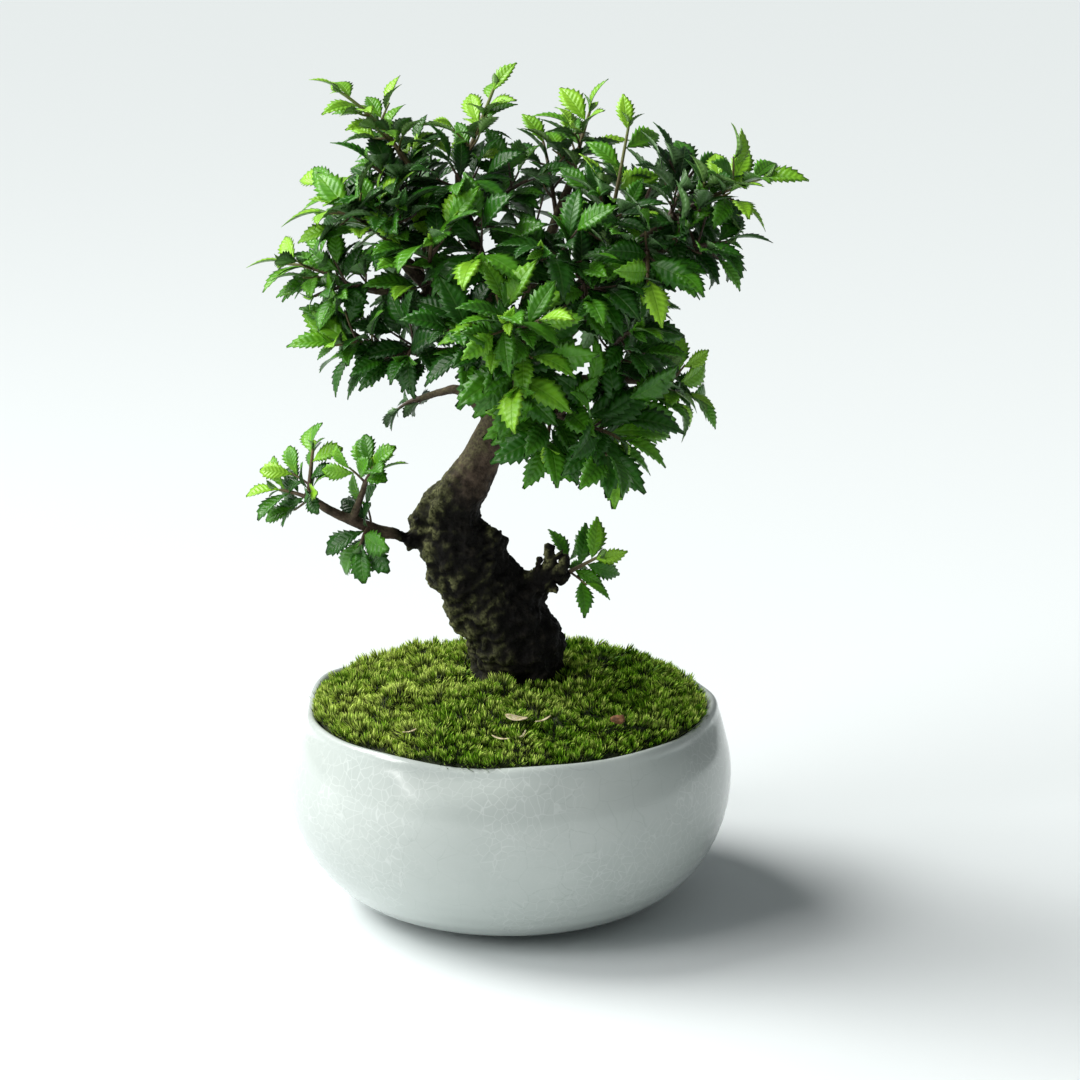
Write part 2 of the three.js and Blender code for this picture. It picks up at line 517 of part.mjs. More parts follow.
// A leaf is a flat, four-cornered lens from its foot to its tip.
function leafBody({ foot, pointing, face, length }, room) {
  const side = pointing.clone().cross(face);
  const lens = moved(new THREE.SphereGeometry(1, 4, 2), (corner) => {
    const along = (corner.x + 1) / 2;
    const rise = Math.abs(corner.y) > 0.5
      ? LEAF_ARCH * length + corner.y * (LEAF_THICKNESS / 2 + room)
      : -LEAF_DROOP * length * along * along;
    const place = Math.abs(corner.y) > 0.5 ? 0.5 : along;
    return foot.clone()
      .addScaledVector(pointing, place * length + (corner.x > 0.9 ? room : 0))
      .addScaledVector(side, corner.z * (LEAF_WIDTH * length / 2 + room))
      .addScaledVector(face, rise);
  });
  return solid(lens);
}

const boxesMeet = (a, b) => a.min.every((low, k) => low < b.max[k] && b.min[k] < a.max[k]);

function isClear(body, others) {
  const box = body.boundingBox();
  return others.every((other) => !boxesMeet(box, other.box) || body.intersect(other.body).isEmpty());
}

const boxed = (body, owner) => ({ body, box: body.boundingBox(), owner });

// ---------------------------------------------------------------- litter on the moss

function litter(name, drawnX, drawnY, geometry, material) {
  const [x, y] = [drawnX, drawnY].map((place) => place * MOUTH_RADIUS / DRAWN_MOUTH);
  const lift = mossAt(x, y) + 2 * GAP;
  piece(name, solid(geometry.translate(x, y, lift)), material);
}

// ---------------------------------------------------------------- assembly

const wood = woodParts(0);
const roomyWood = join(woodParts(GAP));

piece("pot", potBody(), glaze);
piece("drainage_net", netBody(), plastic);
piece("gravel_layer", gravelBody(), gravel);
piece("soil", soilBody().subtract(roomyWood), earth);

const CUSHIONS = [["moss_front", 168, 358], ["moss_back_right", 358, 450], ["moss_back_left", 450, 528]];
const dome = mossDome().subtract(roomyWood);
const mossCushions = CUSHIONS.map(([name, from, to]) => {
  const half = radians(to - from) / 2;
  const bisector = radians(from + to) / 2;
  const inset = GAP / 2 / Math.sin(Math.min(half, Math.PI - half));
  const foot = planted([3, 6.5, 0]);
  const reach = 3 * BELLY_RADIUS;
  const start = radians(from);
  const sector = new THREE.Shape().moveTo(0, 0).lineTo(reach * Math.cos(start), reach * Math.sin(start));
  sector.absarc(0, 0, reach, start, radians(to));
  const wedge = new THREE.ExtrudeGeometry(sector, { depth: 2 * POT_HEIGHT, bevelEnabled: false, curveSegments: 6 });
  wedge.translate(foot.x + inset * Math.cos(bisector), foot.y + inset * Math.sin(bisector), 0);
  const cushion = dome.intersect(solid(wedge));
  piece(name, cushion, moss);
  return cushion;
});

piece("trunk", join(wood), bark);

litter("dry_leaf", 2, -31, new THREE.SphereGeometry(1, 6, 2).rotateX(Math.PI / 2).scale(2.6, 1.5, 0.4)
  .rotateX(0.25), straw);
litter("bark_crumb", 25, -31, new THREE.SphereGeometry(1, 6, 4).scale(1.3, 0.9, 0.7).rotateX(0.5), chip);

// First every stem, so that no leaf is in a later stem's way, and then the side twigs and the
// leaves, shoot by shoot. What finds no room isn't grown.
const standing = [...wood, ...mossCushions].map((body) => boxed(body, ""));
const stems = SHOOTS.map(([name, limb, along, tip, rise, leaves, size], number) => {
  for (const bow of BOWS) {
    const path = stemPath(limb, along, tip, rise + bow);
    const stem = { path, leaves, size, number, bare: BARE_STEM, radii: STEM_RADII, sides: STEM_SIDES };
    const body = stemBody(stem, 0).subtract(roomyWood);
    const room = stemBody(stem, GAP).subtract(roomyWood);
    if (body.decompose().length === 1 && isClear(room, standing.filter((other) => other.owner !== ""))) {
      standing.push(boxed(body, name));
      return { stem, body };
    }
  }
  throw new Error(`${name} finds no room for its stem`);
});

function grownLeaves(stem, others) {
  const leaves = [];
  for (let i = 0; i < stem.leaves; i += 1) {
    const turn = TURNS.find((way) => isClear(leafBody(leafStand(stem, i, way), GAP), others));
    if (turn) {
      leaves.push(leafBody(leafStand(stem, i, turn), 0));
    }
  }
  return leaves;
}

SHOOTS.forEach(([name, , , , , , , age, twigs], number) => {
  const { stem, body } = stems[number];
  const others = standing.filter((other) => other.owner !== name);
  const grown = [body, ...grownLeaves(stem, others)];
  for (let i = 0; i < twigs; i += 1) {
    const fork = FORKS.find((way) => isClear(stemBody(twigOf(stem, i, way), GAP), others));
    if (fork) {
      const twig = twigOf(stem, i, fork);
      grown.push(stemBody(twig, 0), ...grownLeaves(twig, others));
    }
  }
  const shoot = join(grown);
  standing.push(boxed(shoot, name));
  piece(name, shoot, foliage(age));
});

export default tree;
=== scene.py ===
import math

import bmesh
import bpy
import numpy as np
from mathutils import Matrix, Vector, kdtree, noise


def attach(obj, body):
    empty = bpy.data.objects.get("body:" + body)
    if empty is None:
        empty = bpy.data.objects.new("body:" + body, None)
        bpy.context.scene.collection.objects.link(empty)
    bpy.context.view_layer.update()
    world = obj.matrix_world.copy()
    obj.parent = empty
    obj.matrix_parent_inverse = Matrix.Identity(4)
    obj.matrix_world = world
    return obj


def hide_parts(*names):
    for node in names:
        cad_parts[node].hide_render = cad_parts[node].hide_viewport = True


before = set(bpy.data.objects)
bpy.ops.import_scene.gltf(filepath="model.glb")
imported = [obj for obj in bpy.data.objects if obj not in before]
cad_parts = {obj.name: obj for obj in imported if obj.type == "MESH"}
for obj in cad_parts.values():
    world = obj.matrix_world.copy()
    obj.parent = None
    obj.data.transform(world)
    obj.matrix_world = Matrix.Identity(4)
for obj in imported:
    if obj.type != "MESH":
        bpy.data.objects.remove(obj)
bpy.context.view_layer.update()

# ---------------------------------------------------------------- camera
# A long lens a little above the crown looks down at the tree.

MM = 0.001
CAMERA_PLACE = Vector((7.3, -666, 263)) * MM
CAMERA_TARGET = Vector((7.3, 0, 87)) * MM
LENS = 98.57
SENSOR = 36

scene = bpy.context.scene
camera = bpy.data.objects.new("camera", bpy.data.cameras.new("camera"))
scene.collection.objects.link(camera)
camera.location = CAMERA_PLACE
camera.rotation_euler = (CAMERA_TARGET - CAMERA_PLACE).to_track_quat("-Z", "Y").to_euler()
camera.data.sensor_width = SENSOR
camera.data.lens = LENS
camera.data.clip_start = 0.01
scene.camera = camera
scene.view_settings.view_transform = "Standard"

# ---------------------------------------------------------------- studio
# A pale table top that runs on past the view, a big window at the front left, the sky's soft
# light from the back left, and what a wall on the right throws back.

FLOOR_REACH = 12
SKYLIGHT_SPREAD = 38
SKYLIGHT_POWER = 4.1
SKYLIGHT_WAY = (0.8, -0.3, -0.85)
ROOM_GLOW = 0.19
PALE = (0.73, 0.77, 0.78)


def shown(name, mesh, *materials):
    thing = bpy.data.objects.new(name, mesh)
    for material in materials:
        mesh.materials.append(material)
    scene.collection.objects.link(thing)
    return thing


def finish(name):
    material = bpy.data.materials.new(name)
    material.use_nodes = True
    return material, material.node_tree, material.node_tree.nodes["Principled BSDF"]


def lamp(name, place, aim, size, power, colour):
    light = bpy.data.lights.new(name, "AREA")
    light.shape = "RECTANGLE"
    light.size, light.size_y = size
    light.energy = power
    light.color = colour
    stand = bpy.data.objects.new(name, light)
    stand.location = place
    stand.rotation_euler = (Vector(aim) - Vector(place)).to_track_quat("-Z", "Y").to_euler()
    scene.collection.objects.link(stand)


floor_mesh = bpy.data.meshes.new("floor")
floor_corners = [(x * FLOOR_REACH, y * FLOOR_REACH, 0) for x, y in ((-1, -1), (1, -1), (1, 1), (-1, 1))]
floor_mesh.from_pydata(floor_corners, [], [(0, 1, 2, 3)])
floor_material, _, floor_shader = finish("table_top")
floor_shader.inputs["Base Color"].default_value = (*PALE, 1)
floor_shader.inputs["Roughness"].default_value = 0.9
shown("floor", floor_mesh, floor_material)

lamp("window", (-0.76, -0.42, 0.62), (0, 0, 0.1), (0.5, 0.7), 7.6, (1, 0.99, 0.97))
lamp("wall", (0.9, -0.6, 0.5), (0, 0, 0.1), (0.9, 0.9), 0.45, (1, 0.97, 0.93))
sky = bpy.data.lights.new("skylight", "SUN")
sky.energy = SKYLIGHT_POWER
sky.angle = math.radians(SKYLIGHT_SPREAD)
sky.color = (1, 0.995, 0.97)
sky_stand = bpy.data.objects.new("skylight", sky)
sky_stand.rotation_euler = Vector(SKYLIGHT_WAY).to_track_quat("-Z", "Y").to_euler()
scene.collection.objects.link(sky_stand)
world = bpy.data.worlds.new("room")
world.use_nodes = True
world.node_tree.nodes["Background"].inputs["Color"].default_value = (0.9, 0.95, 0.97, 1)
world.node_tree.nodes["Background"].inputs["Strength"].default_value = ROOM_GLOW
scene.world = world

# ---------------------------------------------------------------- pot
# A hand-thrown stoneware bowl with a trimmed foot and three drain holes, dipped in a thick
# pale celadon glaze that crazed as it cooled.

POT_HEIGHT = 47.5
FOOT_RADIUS = 27
FOOT_STEP = 1.4
BELLY_RADIUS = 52.6
BELLY_HEIGHT = 31
MOUTH_RADIUS = 46
LIP_WIDTH = 2.7
LIP_HEIGHT = 2.2
LIP_START = 2.4
WALL = 5.5
POT_FLOOR = 6
RIM_WAVE = 1.1
RIM_LIFT = 0.8
THROWING_RINGS = 0.06
RING_PITCH = 3.4
POT_TURNS = 240
DRAIN_HOLE_RADIUS = 2.4
DRAIN_HOLE_CIRCLE = 14
DRAIN_HOLES = 3


def outer_at(height):
    if height < BELLY_HEIGHT:
        down = (BELLY_HEIGHT - height) / (BELLY_HEIGHT - FOOT_STEP)
        return FOOT_RADIUS + 1.5 + (BELLY_RADIUS - FOOT_RADIUS - 1.5) * math.sqrt(max(0, 1 - down * down))
    up = (height - BELLY_HEIGHT) / (POT_HEIGHT - 2 - BELLY_HEIGHT)
    return BELLY_RADIUS - (BELLY_RADIUS - MOUTH_RADIUS - LIP_WIDTH) * up * up


def inner_at(height):
    belly = BELLY_RADIUS - WALL
    if height < BELLY_HEIGHT:
        up = (height - POT_FLOOR) / (BELLY_HEIGHT - POT_FLOOR)
        return FOOT_RADIUS + (belly - FOOT_RADIUS) * math.sin(math.sqrt(max(up, 0)) * math.pi / 2)
    up = (height - BELLY_HEIGHT) / (POT_HEIGHT - BELLY_HEIGHT)
    return belly + (MOUTH_RADIUS - belly) * up * up


def rim_wave(turn):
    return RIM_WAVE * (0.6 * math.sin(5 * turn + 0.7) + 0.4 * math.sin(9 * turn + 2.1))


def smooth_share(low, high, value):
    share = min(1, max(0, (value - low) / (high - low)))
    return share * share * (3 - 2 * share)


def pot_profile():
    profile = [(0, 0), (FOOT_RADIUS - 1, 0), (FOOT_RADIUS - 0.3, 0.15)]
    profile += [(FOOT_RADIUS, 0.5), (FOOT_RADIUS, FOOT_STEP)]
    for step in range(1, 41):
        height = FOOT_STEP + (1 - math.cos(math.pi / 2 * step / 40)) * (BELLY_HEIGHT - FOOT_STEP)
        ring = THROWING_RINGS * math.sin(2 * math.pi * height / RING_PITCH)
        profile.append((outer_at(height) + ring, height))
    for step in range(1, 21):
        height = BELLY_HEIGHT + step / 20 * (POT_HEIGHT - LIP_START - BELLY_HEIGHT)
        profile.append((outer_at(height), height))
    for step in range(1, 12):
        turn = math.pi * step / 12
        middle = MOUTH_RADIUS + LIP_WIDTH / 2
        height = POT_HEIGHT - LIP_HEIGHT + LIP_HEIGHT * math.sin(turn)
        profile.append((middle + LIP_WIDTH / 2 * math.cos(turn), height))
    for step in range(0, 25):
        height = POT_HEIGHT - LIP_START - step / 24 * (POT_HEIGHT - LIP_START - POT_FLOOR)
        profile.append((inner_at(height), height))
    return [*profile, (0, POT_FLOOR)]


def lathe(name, profile, turns, place):
    shell = bmesh.new()
    rings = []
    for radius, height in profile:
        if radius == 0:
            rings.append([shell.verts.new((0, 0, height * MM))])
            continue
        ring = []
        for step in range(turns):
            turn = 2 * math.pi * step / turns
            x, y, z = place(radius, turn, height)
            ring.append(shell.verts.new((x * MM, y * MM, z * MM)))
        rings.append(ring)
    for low, high in zip(rings, rings[1:]):
        for step in range(turns):
            after = (step + 1) % turns
            corners = [low[step % len(low)], low[after % len(low)]]
            corners += [high[after % len(high)], high[step % len(high)]]
            shell.faces.new(list(dict.fromkeys(corners)))
    bmesh.ops.recalc_face_normals(shell, faces=shell.faces)
    mesh = bpy.data.meshes.new(name)
    shell.to_mesh(mesh)
    shell.free()
    mesh.shade_smooth()
    return mesh


def on_the_wheel(radius, turn, height):
    lip = smooth_share(POT_HEIGHT - 9, POT_HEIGHT, height)
    wave = lip * rim_wave(turn)
    wide = radius + wave * smooth_share(MOUTH_RADIUS - 1.5, MOUTH_RADIUS + 0.5, radius)
    return wide * math.cos(turn), wide * math.sin(turn), height + RIM_LIFT * wave


def applied(thing):
    """The thing's own mesh with its modifiers made part of it."""
    graph = bpy.context.evaluated_depsgraph_get()
    mesh = bpy.data.meshes.new_from_object(thing.evaluated_get(graph), depsgraph=graph)
    thing.modifiers.clear()
    thing.data = mesh
    return thing


def wired(tree, kind, settings=(), **inputs):
    """A node of this kind, with its settings and its named inputs set or linked."""
    node = tree.nodes.new(kind)
    for name, value in dict(settings).items():
        setattr(node, name, value)
    for name, value in inputs.items():
        socket = node.inputs[name.replace("_", " ")]
        if isinstance(value, bpy.types.NodeSocket):
            tree.links.new(value, socket)
        else:
            socket.default_value = value
    return node


def noise_at(tree, place, scale, detail=2.0, roughness=0.5):
    node = wired(tree, "ShaderNodeTexNoise", Vector=place, Scale=scale, Detail=detail, Roughness=roughness)
    return node.outputs["Fac"]


def ramp(tree, value, *stops):
    node = tree.nodes.new("ShaderNodeValToRGB")
    tree.links.new(value, node.inputs["Fac"])
    steps = node.color_ramp.elements
    while len(steps) < len(stops):
        steps.new(0.5)
    for step, (place, colour) in zip(steps, stops):
        step.position = place
        step.color = (*colour, 1) if len(colour) == 3 else colour
    return node.outputs["Color"]


def ranged(tree, value, low, high, start=0.0, end=1.0):
    node = wired(tree, "ShaderNodeMapRange", {"interpolation_type": "SMOOTHSTEP"}, Value=value,
                 From_Min=low, From_Max=high, To_Min=start, To_Max=end)
    return node.outputs["Result"]


def sum_of(tree, operation, first, second):
    node = tree.nodes.new("ShaderNodeMath")
    node.operation = operation
    for socket, value in zip(node.inputs, (first, second)):
        if isinstance(value, (int, float)):
            socket.default_value = value
        else:
            tree.links.new(value, socket)
    return node.outputs["Value"]


def blended(tree, share, first, second):
    node = wired(tree, "ShaderNodeMix", {"data_type": "RGBA"})
    for socket, value in zip((node.inputs[0], node.inputs[6], node.inputs[7]), (share, first, second)):
        if isinstance(value, (int, float)):
            socket.default_value = value
        elif isinstance(value, tuple):
            socket.default_value = (*value, 1)
        else:
            tree.links.new(value, socket)
    return node.outputs[2]


def bumped(tree, height, strength, distance, shader):
    node = wired(tree, "ShaderNodeBump", Strength=strength, Distance=distance, Height=height)
    tree.links.new(node.outputs["Normal"], shader.inputs["Normal"])


def object_place(tree):
    return tree.nodes.new("ShaderNodeTexCoord").outputs["Object"]


def cells(tree, place, scale, feature, output):
    node = wired(tree, "ShaderNodeTexVoronoi", {"feature": feature}, Vector=place, Scale=scale)
    return node.outputs[output]


def wandering(tree, place, scale, reach):
    """The place, pushed about by up to reach, so that cell borders run crooked."""
    drift = wired(tree, "ShaderNodeTexNoise", Vector=place, Scale=scale)
    node = wired(tree, "ShaderNodeVectorMath", {"operation": "MULTIPLY_ADD"})
    tree.links.new(drift.outputs["Color"], node.inputs[0])
    node.inputs[1].default_value = (reach, reach, reach)
    tree.links.new(place, node.inputs[2])
    return node.outputs["Vector"]


def celadon():
    material, tree, shader = finish("crazed_celadon")
    place = object_place(tree)
    crooked = wandering(tree, place, 90, 0.006)
    body = ramp(tree, noise_at(tree, place, 26, 3), (0.3, (0.41, 0.455, 0.435)),
                (0.7, (0.5, 0.545, 0.52)))
    cloud = ranged(tree, noise_at(tree, place, 240, 4, 0.6), 0.35, 0.75)
    glaze = blended(tree, sum_of(tree, "MULTIPLY", cloud, 0.04), body, (0.66, 0.7, 0.685))
    wide = ranged(tree, cells(tree, crooked, 150, "DISTANCE_TO_EDGE", "Distance"), 0.0, 0.02, 1, 0)
    fine = ranged(tree, cells(tree, crooked, 440, "DISTANCE_TO_EDGE", "Distance"), 0.0, 0.06, 0.6, 0)
    stained = ranged(tree, noise_at(tree, place, 55, 2), 0.35, 0.65, 0.06, 0.26)
    lines = sum_of(tree, "MULTIPLY", sum_of(tree, "MAXIMUM", wide, fine), stained)
    showing = ranged(tree, noise_at(tree, place, 38, 2), 0.42, 0.6, 0.08, 0.42)
    pale_lines = sum_of(tree, "MULTIPLY", fine, showing)
    crazed = blended(tree, pale_lines, blended(tree, lines, glaze, (0.27, 0.31, 0.29)), (0.82, 0.86, 0.84))
    dots = ranged(tree, cells(tree, place, 330, "F1", "Distance"), 0.07, 0.12, 1, 0)
    rare = ranged(tree, noise_at(tree, place, 150, 1), 0.66, 0.7)
    speckled = blended(tree, sum_of(tree, "MULTIPLY", dots, rare), crazed, (0.2, 0.13, 0.07))
    tree.links.new(speckled, shader.inputs["Base Color"])
    gloss = ranged(tree, noise_at(tree, place, 18, 2), 0.3, 0.7, 0.2, 0.27)
    tree.links.new(gloss, shader.inputs["Roughness"])
    shader.inputs["Coat Weight"].default_value = 0.5
    shader.inputs["Coat Roughness"].default_value = 0.12
    orange_peel = noise_at(tree, place, 160, 3)
    surface = sum_of(tree, "SUBTRACT", orange_peel, sum_of(tree, "MULTIPLY", lines, 0.3))
    bumped(tree, surface, 0.1, 0.0004, shader)
    return material


pot = shown("glazed_bowl", lathe("glazed_bowl", pot_profile(), POT_TURNS, on_the_wheel), celadon())
for hole in range(DRAIN_HOLES):
    turn = 2 * math.pi * hole / DRAIN_HOLES + math.pi / 2
    drill = bmesh.new()
    middle = Matrix.Translation(DRAIN_HOLE_CIRCLE * MM * Vector((math.cos(turn), math.sin(turn), 0)))
    bmesh.ops.create_cone(drill, cap_ends=True, segments=32, radius1=DRAIN_HOLE_RADIUS * MM,
                          radius2=DRAIN_HOLE_RADIUS * MM, depth=4 * POT_FLOOR * MM, matrix=middle)
    bit_mesh = bpy.data.meshes.new("drill")
    drill.to_mesh(bit_mesh)
    drill.free()
    bit = shown("drill", bit_mesh)
    bored = pot.modifiers.new("bored", "BOOLEAN")
    bored.operation = "DIFFERENCE"
    bored.solver = "EXACT"
    bored.object = bit
    applied(pot)
    bpy.data.objects.remove(bit)
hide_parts("pot")
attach(pot, "root")

# ---------------------------------------------------------------- net, gravel and soil
# A cut square of plastic mesh over the drain holes, a drainage layer of pumice grit and the
# sieved clay soil that holds the roots. All three lie hidden in the pot.


def refinished(node, material):
    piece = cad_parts[node]
    piece.data.materials.clear()
    piece.data.materials.append(material)


def shader_group(name, inputs, outputs):
    """An empty group for an effect that several finishes share."""
    tree = bpy.data.node_groups.new(name, "ShaderNodeTree")
    for way, sockets in (("INPUT", inputs), ("OUTPUT", outputs)):
        for label, kind in sockets.items():
            tree.interface.new_socket(label, in_out=way, socket_type=f"NodeSocket{kind}")
    return tree, tree.nodes.new("NodeGroupInput").outputs, tree.nodes.new("NodeGroupOutput").inputs


def placed(tree, group, **values):
    """The group's outputs in one finish, with that finish's own values."""
    node = tree.nodes.new("ShaderNodeGroup")
    node.node_tree = group
    for name, value in values.items():
        node.inputs[name].default_value = (*value, 1) if isinstance(value, tuple) else value
    return node.outputs


def fine_grain_group():
    tree, given, result = shader_group(
        "fine_grain",
        {"Fineness": "Float", "Dark": "Color", "Light": "Color", "Smooth": "Float", "Rough": "Float"},
        {"Colour": "Color", "Roughness": "Float", "Grain": "Float"},
    )
    speckle = wired(tree, "ShaderNodeTexNoise", Vector=object_place(tree), Scale=given["Fineness"],
                    Detail=3.0)
    share = ranged(tree, speckle.outputs["Fac"], 0.3, 0.7)
    span = wired(tree, "ShaderNodeMapRange", Value=share, To_Min=given["Smooth"], To_Max=given["Rough"])
    tree.links.new(blended(tree, share, given["Dark"], given["Light"]), result["Colour"])
    tree.links.new(span.outputs["Result"], result["Roughness"])
    tree.links.new(speckle.outputs["Fac"], result["Grain"])
    return tree


def loose_grit_group():
    tree, given, result = shader_group(
        "loose_grit",
        {"Fineness": "Float", "Dark": "Color", "Light": "Color"},
        {"Colour": "Color", "Roughness": "Float", "Height": "Float"},
    )
    place = object_place(tree)
    stones = wired(tree, "ShaderNodeTexVoronoi", {"feature": "F1"}, Vector=place, Scale=given["Fineness"])
    tint = blended(tree, ranged(tree, stones.outputs["Color"], 0.2, 0.8), given["Dark"], given["Light"])
    # Painted shade: the grit goes near-black in the gaps between the stones.
    shade_between_stones = ranged(tree, stones.outputs["Distance"], 0.3, 0.75, 0, 0.8)
    tree.links.new(blended(tree, shade_between_stones, tint, (0.01, 0.008, 0.006)), result["Colour"])
    tree.links.new(ranged(tree, noise_at(tree, place, 2000), 0.3, 0.7, 0.8, 1), result["Roughness"])
    tree.links.new(ranged(tree, stones.outputs["Distance"], 0, 0.8, 1, 0), result["Height"])
    return tree


fine_grain = fine_grain_group()
loose_grit = loose_grit_group()


def grained(name, strength, depth, **values):
    """A finish that is fine grain all over."""
    material, tree, shader = finish(name)
    grain = placed(tree, fine_grain, **values)
    tree.links.new(grain["Colour"], shader.inputs["Base Color"])
    tree.links.new(grain["Roughness"], shader.inputs["Roughness"])
    bumped(tree, grain["Grain"], strength, depth, shader)
    return material


def grit(name, depth, **values):
    """A finish that is stones or crumbs lying loose."""
    material, tree, shader = finish(name)
    stones = placed(tree, loose_grit, **values)
    tree.links.new(stones["Colour"], shader.inputs["Base Color"])
    tree.links.new(stones["Roughness"], shader.inputs["Roughness"])
    bumped(tree, stones["Height"], 0.9, depth, shader)
    return material


net_plastic = grained("moulded_net_plastic", 0.2, 0.0001, Fineness=900, Dark=(0.012, 0.014, 0.013),
                      Light=(0.03, 0.032, 0.03), Smooth=0.45, Rough=0.6)
pumice = grit("pumice_grit", 0.0012, Fineness=420, Dark=(0.16, 0.13, 0.1), Light=(0.42, 0.37, 0.3))
clay_soil = grit("sieved_soil", 0.0007, Fineness=700, Dark=(0.02, 0.012, 0.008), Light=(0.09, 0.05, 0.028))
refinished("drainage_net", net_plastic)
refinished("gravel_layer", pumice)
refinished("soil", clay_soil)

# ---------------------------------------------------------------- moss
# Three cushions of living moss laid on the soil and pressed together. Each is a dark mat of old stems,
# painted near-black as the shade deep in the moss, that carries thousands of small green stars of pointed
# leaflets.

TUFT_HEIGHT = 4.2
TUFT_SINK = 2.2
TUFT_LEAFLETS = 20
LEAFLET_LENGTH = 2.9
LEAFLET_WIDTH = 0.36
LEAFLET_CURL = 0.3
TUFT_SPACING = 1.35
MOUND_HEIGHT = 2.8
MOUND_REACH = 8.0
MOUND_CUTS = 3
MOUND_FACING = 0.3
TUFT_SEED = 4
GOLDEN_TURN = 2.39996
TUFT_CROWDING = 2.5e6
STAR_LEAN = 0.4
STAR_SIZES = (0.65, 1.35)
TOP_FACING = 0.25


def tuft_mesh():
    """One moss stem: leaflets in a spiral that open from upright at the tip to flat lower down."""
    corners = []
    faces = []
    reaches = []
    upward = Vector((0, 0, 1))
    for leaflet in range(TUFT_LEAFLETS):
        share = leaflet / (TUFT_LEAFLETS - 1)
        turn = GOLDEN_TURN * leaflet
        height = TUFT_HEIGHT * (0.25 + 0.5 * share)
        tilt = math.radians(26 + 50 * share)
        length = LEAFLET_LENGTH * (1 - 0.35 * share)
        outward = Vector((math.cos(turn), math.sin(turn), 0))
        across = Vector((-math.sin(turn), math.cos(turn), 0)) * LEAFLET_WIDTH / 2
        foot = outward * 0.1 + upward * height
        belly = foot + length / 2 * (outward * math.cos(tilt) + upward * math.sin(tilt))
        curled = tilt + LEAFLET_CURL
        tip = belly + length / 2 * (outward * math.cos(curled) + upward * math.sin(curled))
        first = len(corners)
        corners += [foot, belly + across, tip, belly - across]
        faces.append((first, first + 3, first + 2, first + 1))
        reaches += [0.15 + 0.35 * share, 0.45 + 0.4 * share, 0.7 + 0.3 * share, 0.45 + 0.4 * share]
    mesh = bpy.data.meshes.new("moss_star")
    mesh.from_pydata([corner * MM for corner in corners], [], faces)
    reach = mesh.attributes.new("reach", "FLOAT", "POINT")
    reach.data.foreach_set("value", reaches)
    return mesh


def growing_rule(name, **inputs):
    """An empty node tree that takes a mesh and these inputs and gives a mesh."""
    tree = bpy.data.node_groups.new(name, "GeometryNodeTree")
    tree.interface.new_socket("Geometry", in_out="INPUT", socket_type="NodeSocketGeometry")
    for label, kind in inputs.items():
        tree.interface.new_socket(label.replace("_", " "), in_out="INPUT", socket_type=f"NodeSocket{kind}")
    tree.interface.new_socket("Geometry", in_out="OUTPUT", socket_type="NodeSocketGeometry")
    return tree, tree.nodes.new("NodeGroupInput").outputs, tree.nodes.new("NodeGroupOutput").inputs


def grown(thing, tree, **values):
    """The thing after the growing rule has been applied to it with these values."""
    rule = thing.modifiers.new(tree.name, "NODES")
    rule.node_group = tree
    for socket in tree.interface.items_tree:
        label = socket.name.replace(" ", "_")
        if socket.in_out == "INPUT" and label in values:
            rule[socket.identifier] = values[label]
    return applied(thing)


def moss_rule():
    tree, given, result = growing_rule("moss_rule", Star="Object", Spacing="Float", Sink="Float",
                                       Seed="Int", Mat_finish="Material", Star_finish="Material")
    normal = wired(tree, "GeometryNodeInputNormal").outputs["Normal"]
    upward = wired(tree, "ShaderNodeSeparateXYZ", Vector=normal).outputs["Z"]
    is_top = wired(tree, "FunctionNodeCompare", {"data_type": "FLOAT", "operation": "GREATER_THAN"},
                   A=upward, B=TOP_FACING)
    spots = wired(tree, "GeometryNodeDistributePointsOnFaces", {"distribute_method": "POISSON"},
                  Mesh=given["Geometry"], Selection=is_top.outputs["Result"],
                  Distance_Min=given["Spacing"], Density_Max=TUFT_CROWDING, Seed=given["Seed"])
    lean = wired(tree, "FunctionNodeRandomValue", {"data_type": "FLOAT_VECTOR"}, Seed=given["Seed"])
    lean.inputs["Min"].default_value = (-STAR_LEAN, -STAR_LEAN, 0)
    lean.inputs["Max"].default_value = (STAR_LEAN, STAR_LEAN, 2 * math.pi)
    own_turn = wired(tree, "FunctionNodeEulerToRotation", Euler=lean.outputs["Value"])
    stand = wired(tree, "FunctionNodeRotateRotation", Rotation=spots.outputs["Rotation"],
                  Rotate_By=own_turn.outputs["Rotation"])
    stand.rotation_space = "LOCAL"
    size = wired(tree, "FunctionNodeRandomValue", {"data_type": "FLOAT"}, Seed=given["Seed"])
    size.inputs[2].default_value, size.inputs[3].default_value = STAR_SIZES
    star = wired(tree, "GeometryNodeObjectInfo", Object=given["Star"])
    stars = wired(tree, "GeometryNodeInstanceOnPoints", Points=spots.outputs["Points"],
                  Instance=star.outputs["Geometry"], Rotation=stand.outputs["Rotation"])
    tree.links.new(size.outputs[1], stars.inputs["Scale"])
    sunk = wired(tree, "ShaderNodeCombineXYZ", Z=given["Sink"])
    lowered = wired(tree, "GeometryNodeTranslateInstances", Instances=stars.outputs["Instances"],
                    Translation=sunk.outputs["Vector"])
    plain = wired(tree, "GeometryNodeRealizeInstances", Geometry=lowered.outputs["Instances"])
    green = wired(tree, "GeometryNodeSetMaterial", Geometry=plain.outputs["Geometry"],
                  Material=given["Star finish"])
    mat = wired(tree, "GeometryNodeSetMaterial", Geometry=given["Geometry"],
                Material=given["Mat finish"])
    both = tree.nodes.new("GeometryNodeJoinGeometry")
    tree.links.new(mat.outputs["Geometry"], both.inputs["Geometry"])
    tree.links.new(green.outputs["Geometry"], both.inputs["Geometry"])
    tree.links.new(both.outputs["Geometry"], result["Geometry"])
    return tree


def attribute(tree, name):
    return wired(tree, "ShaderNodeAttribute", {"attribute_name": name}).outputs["Fac"]


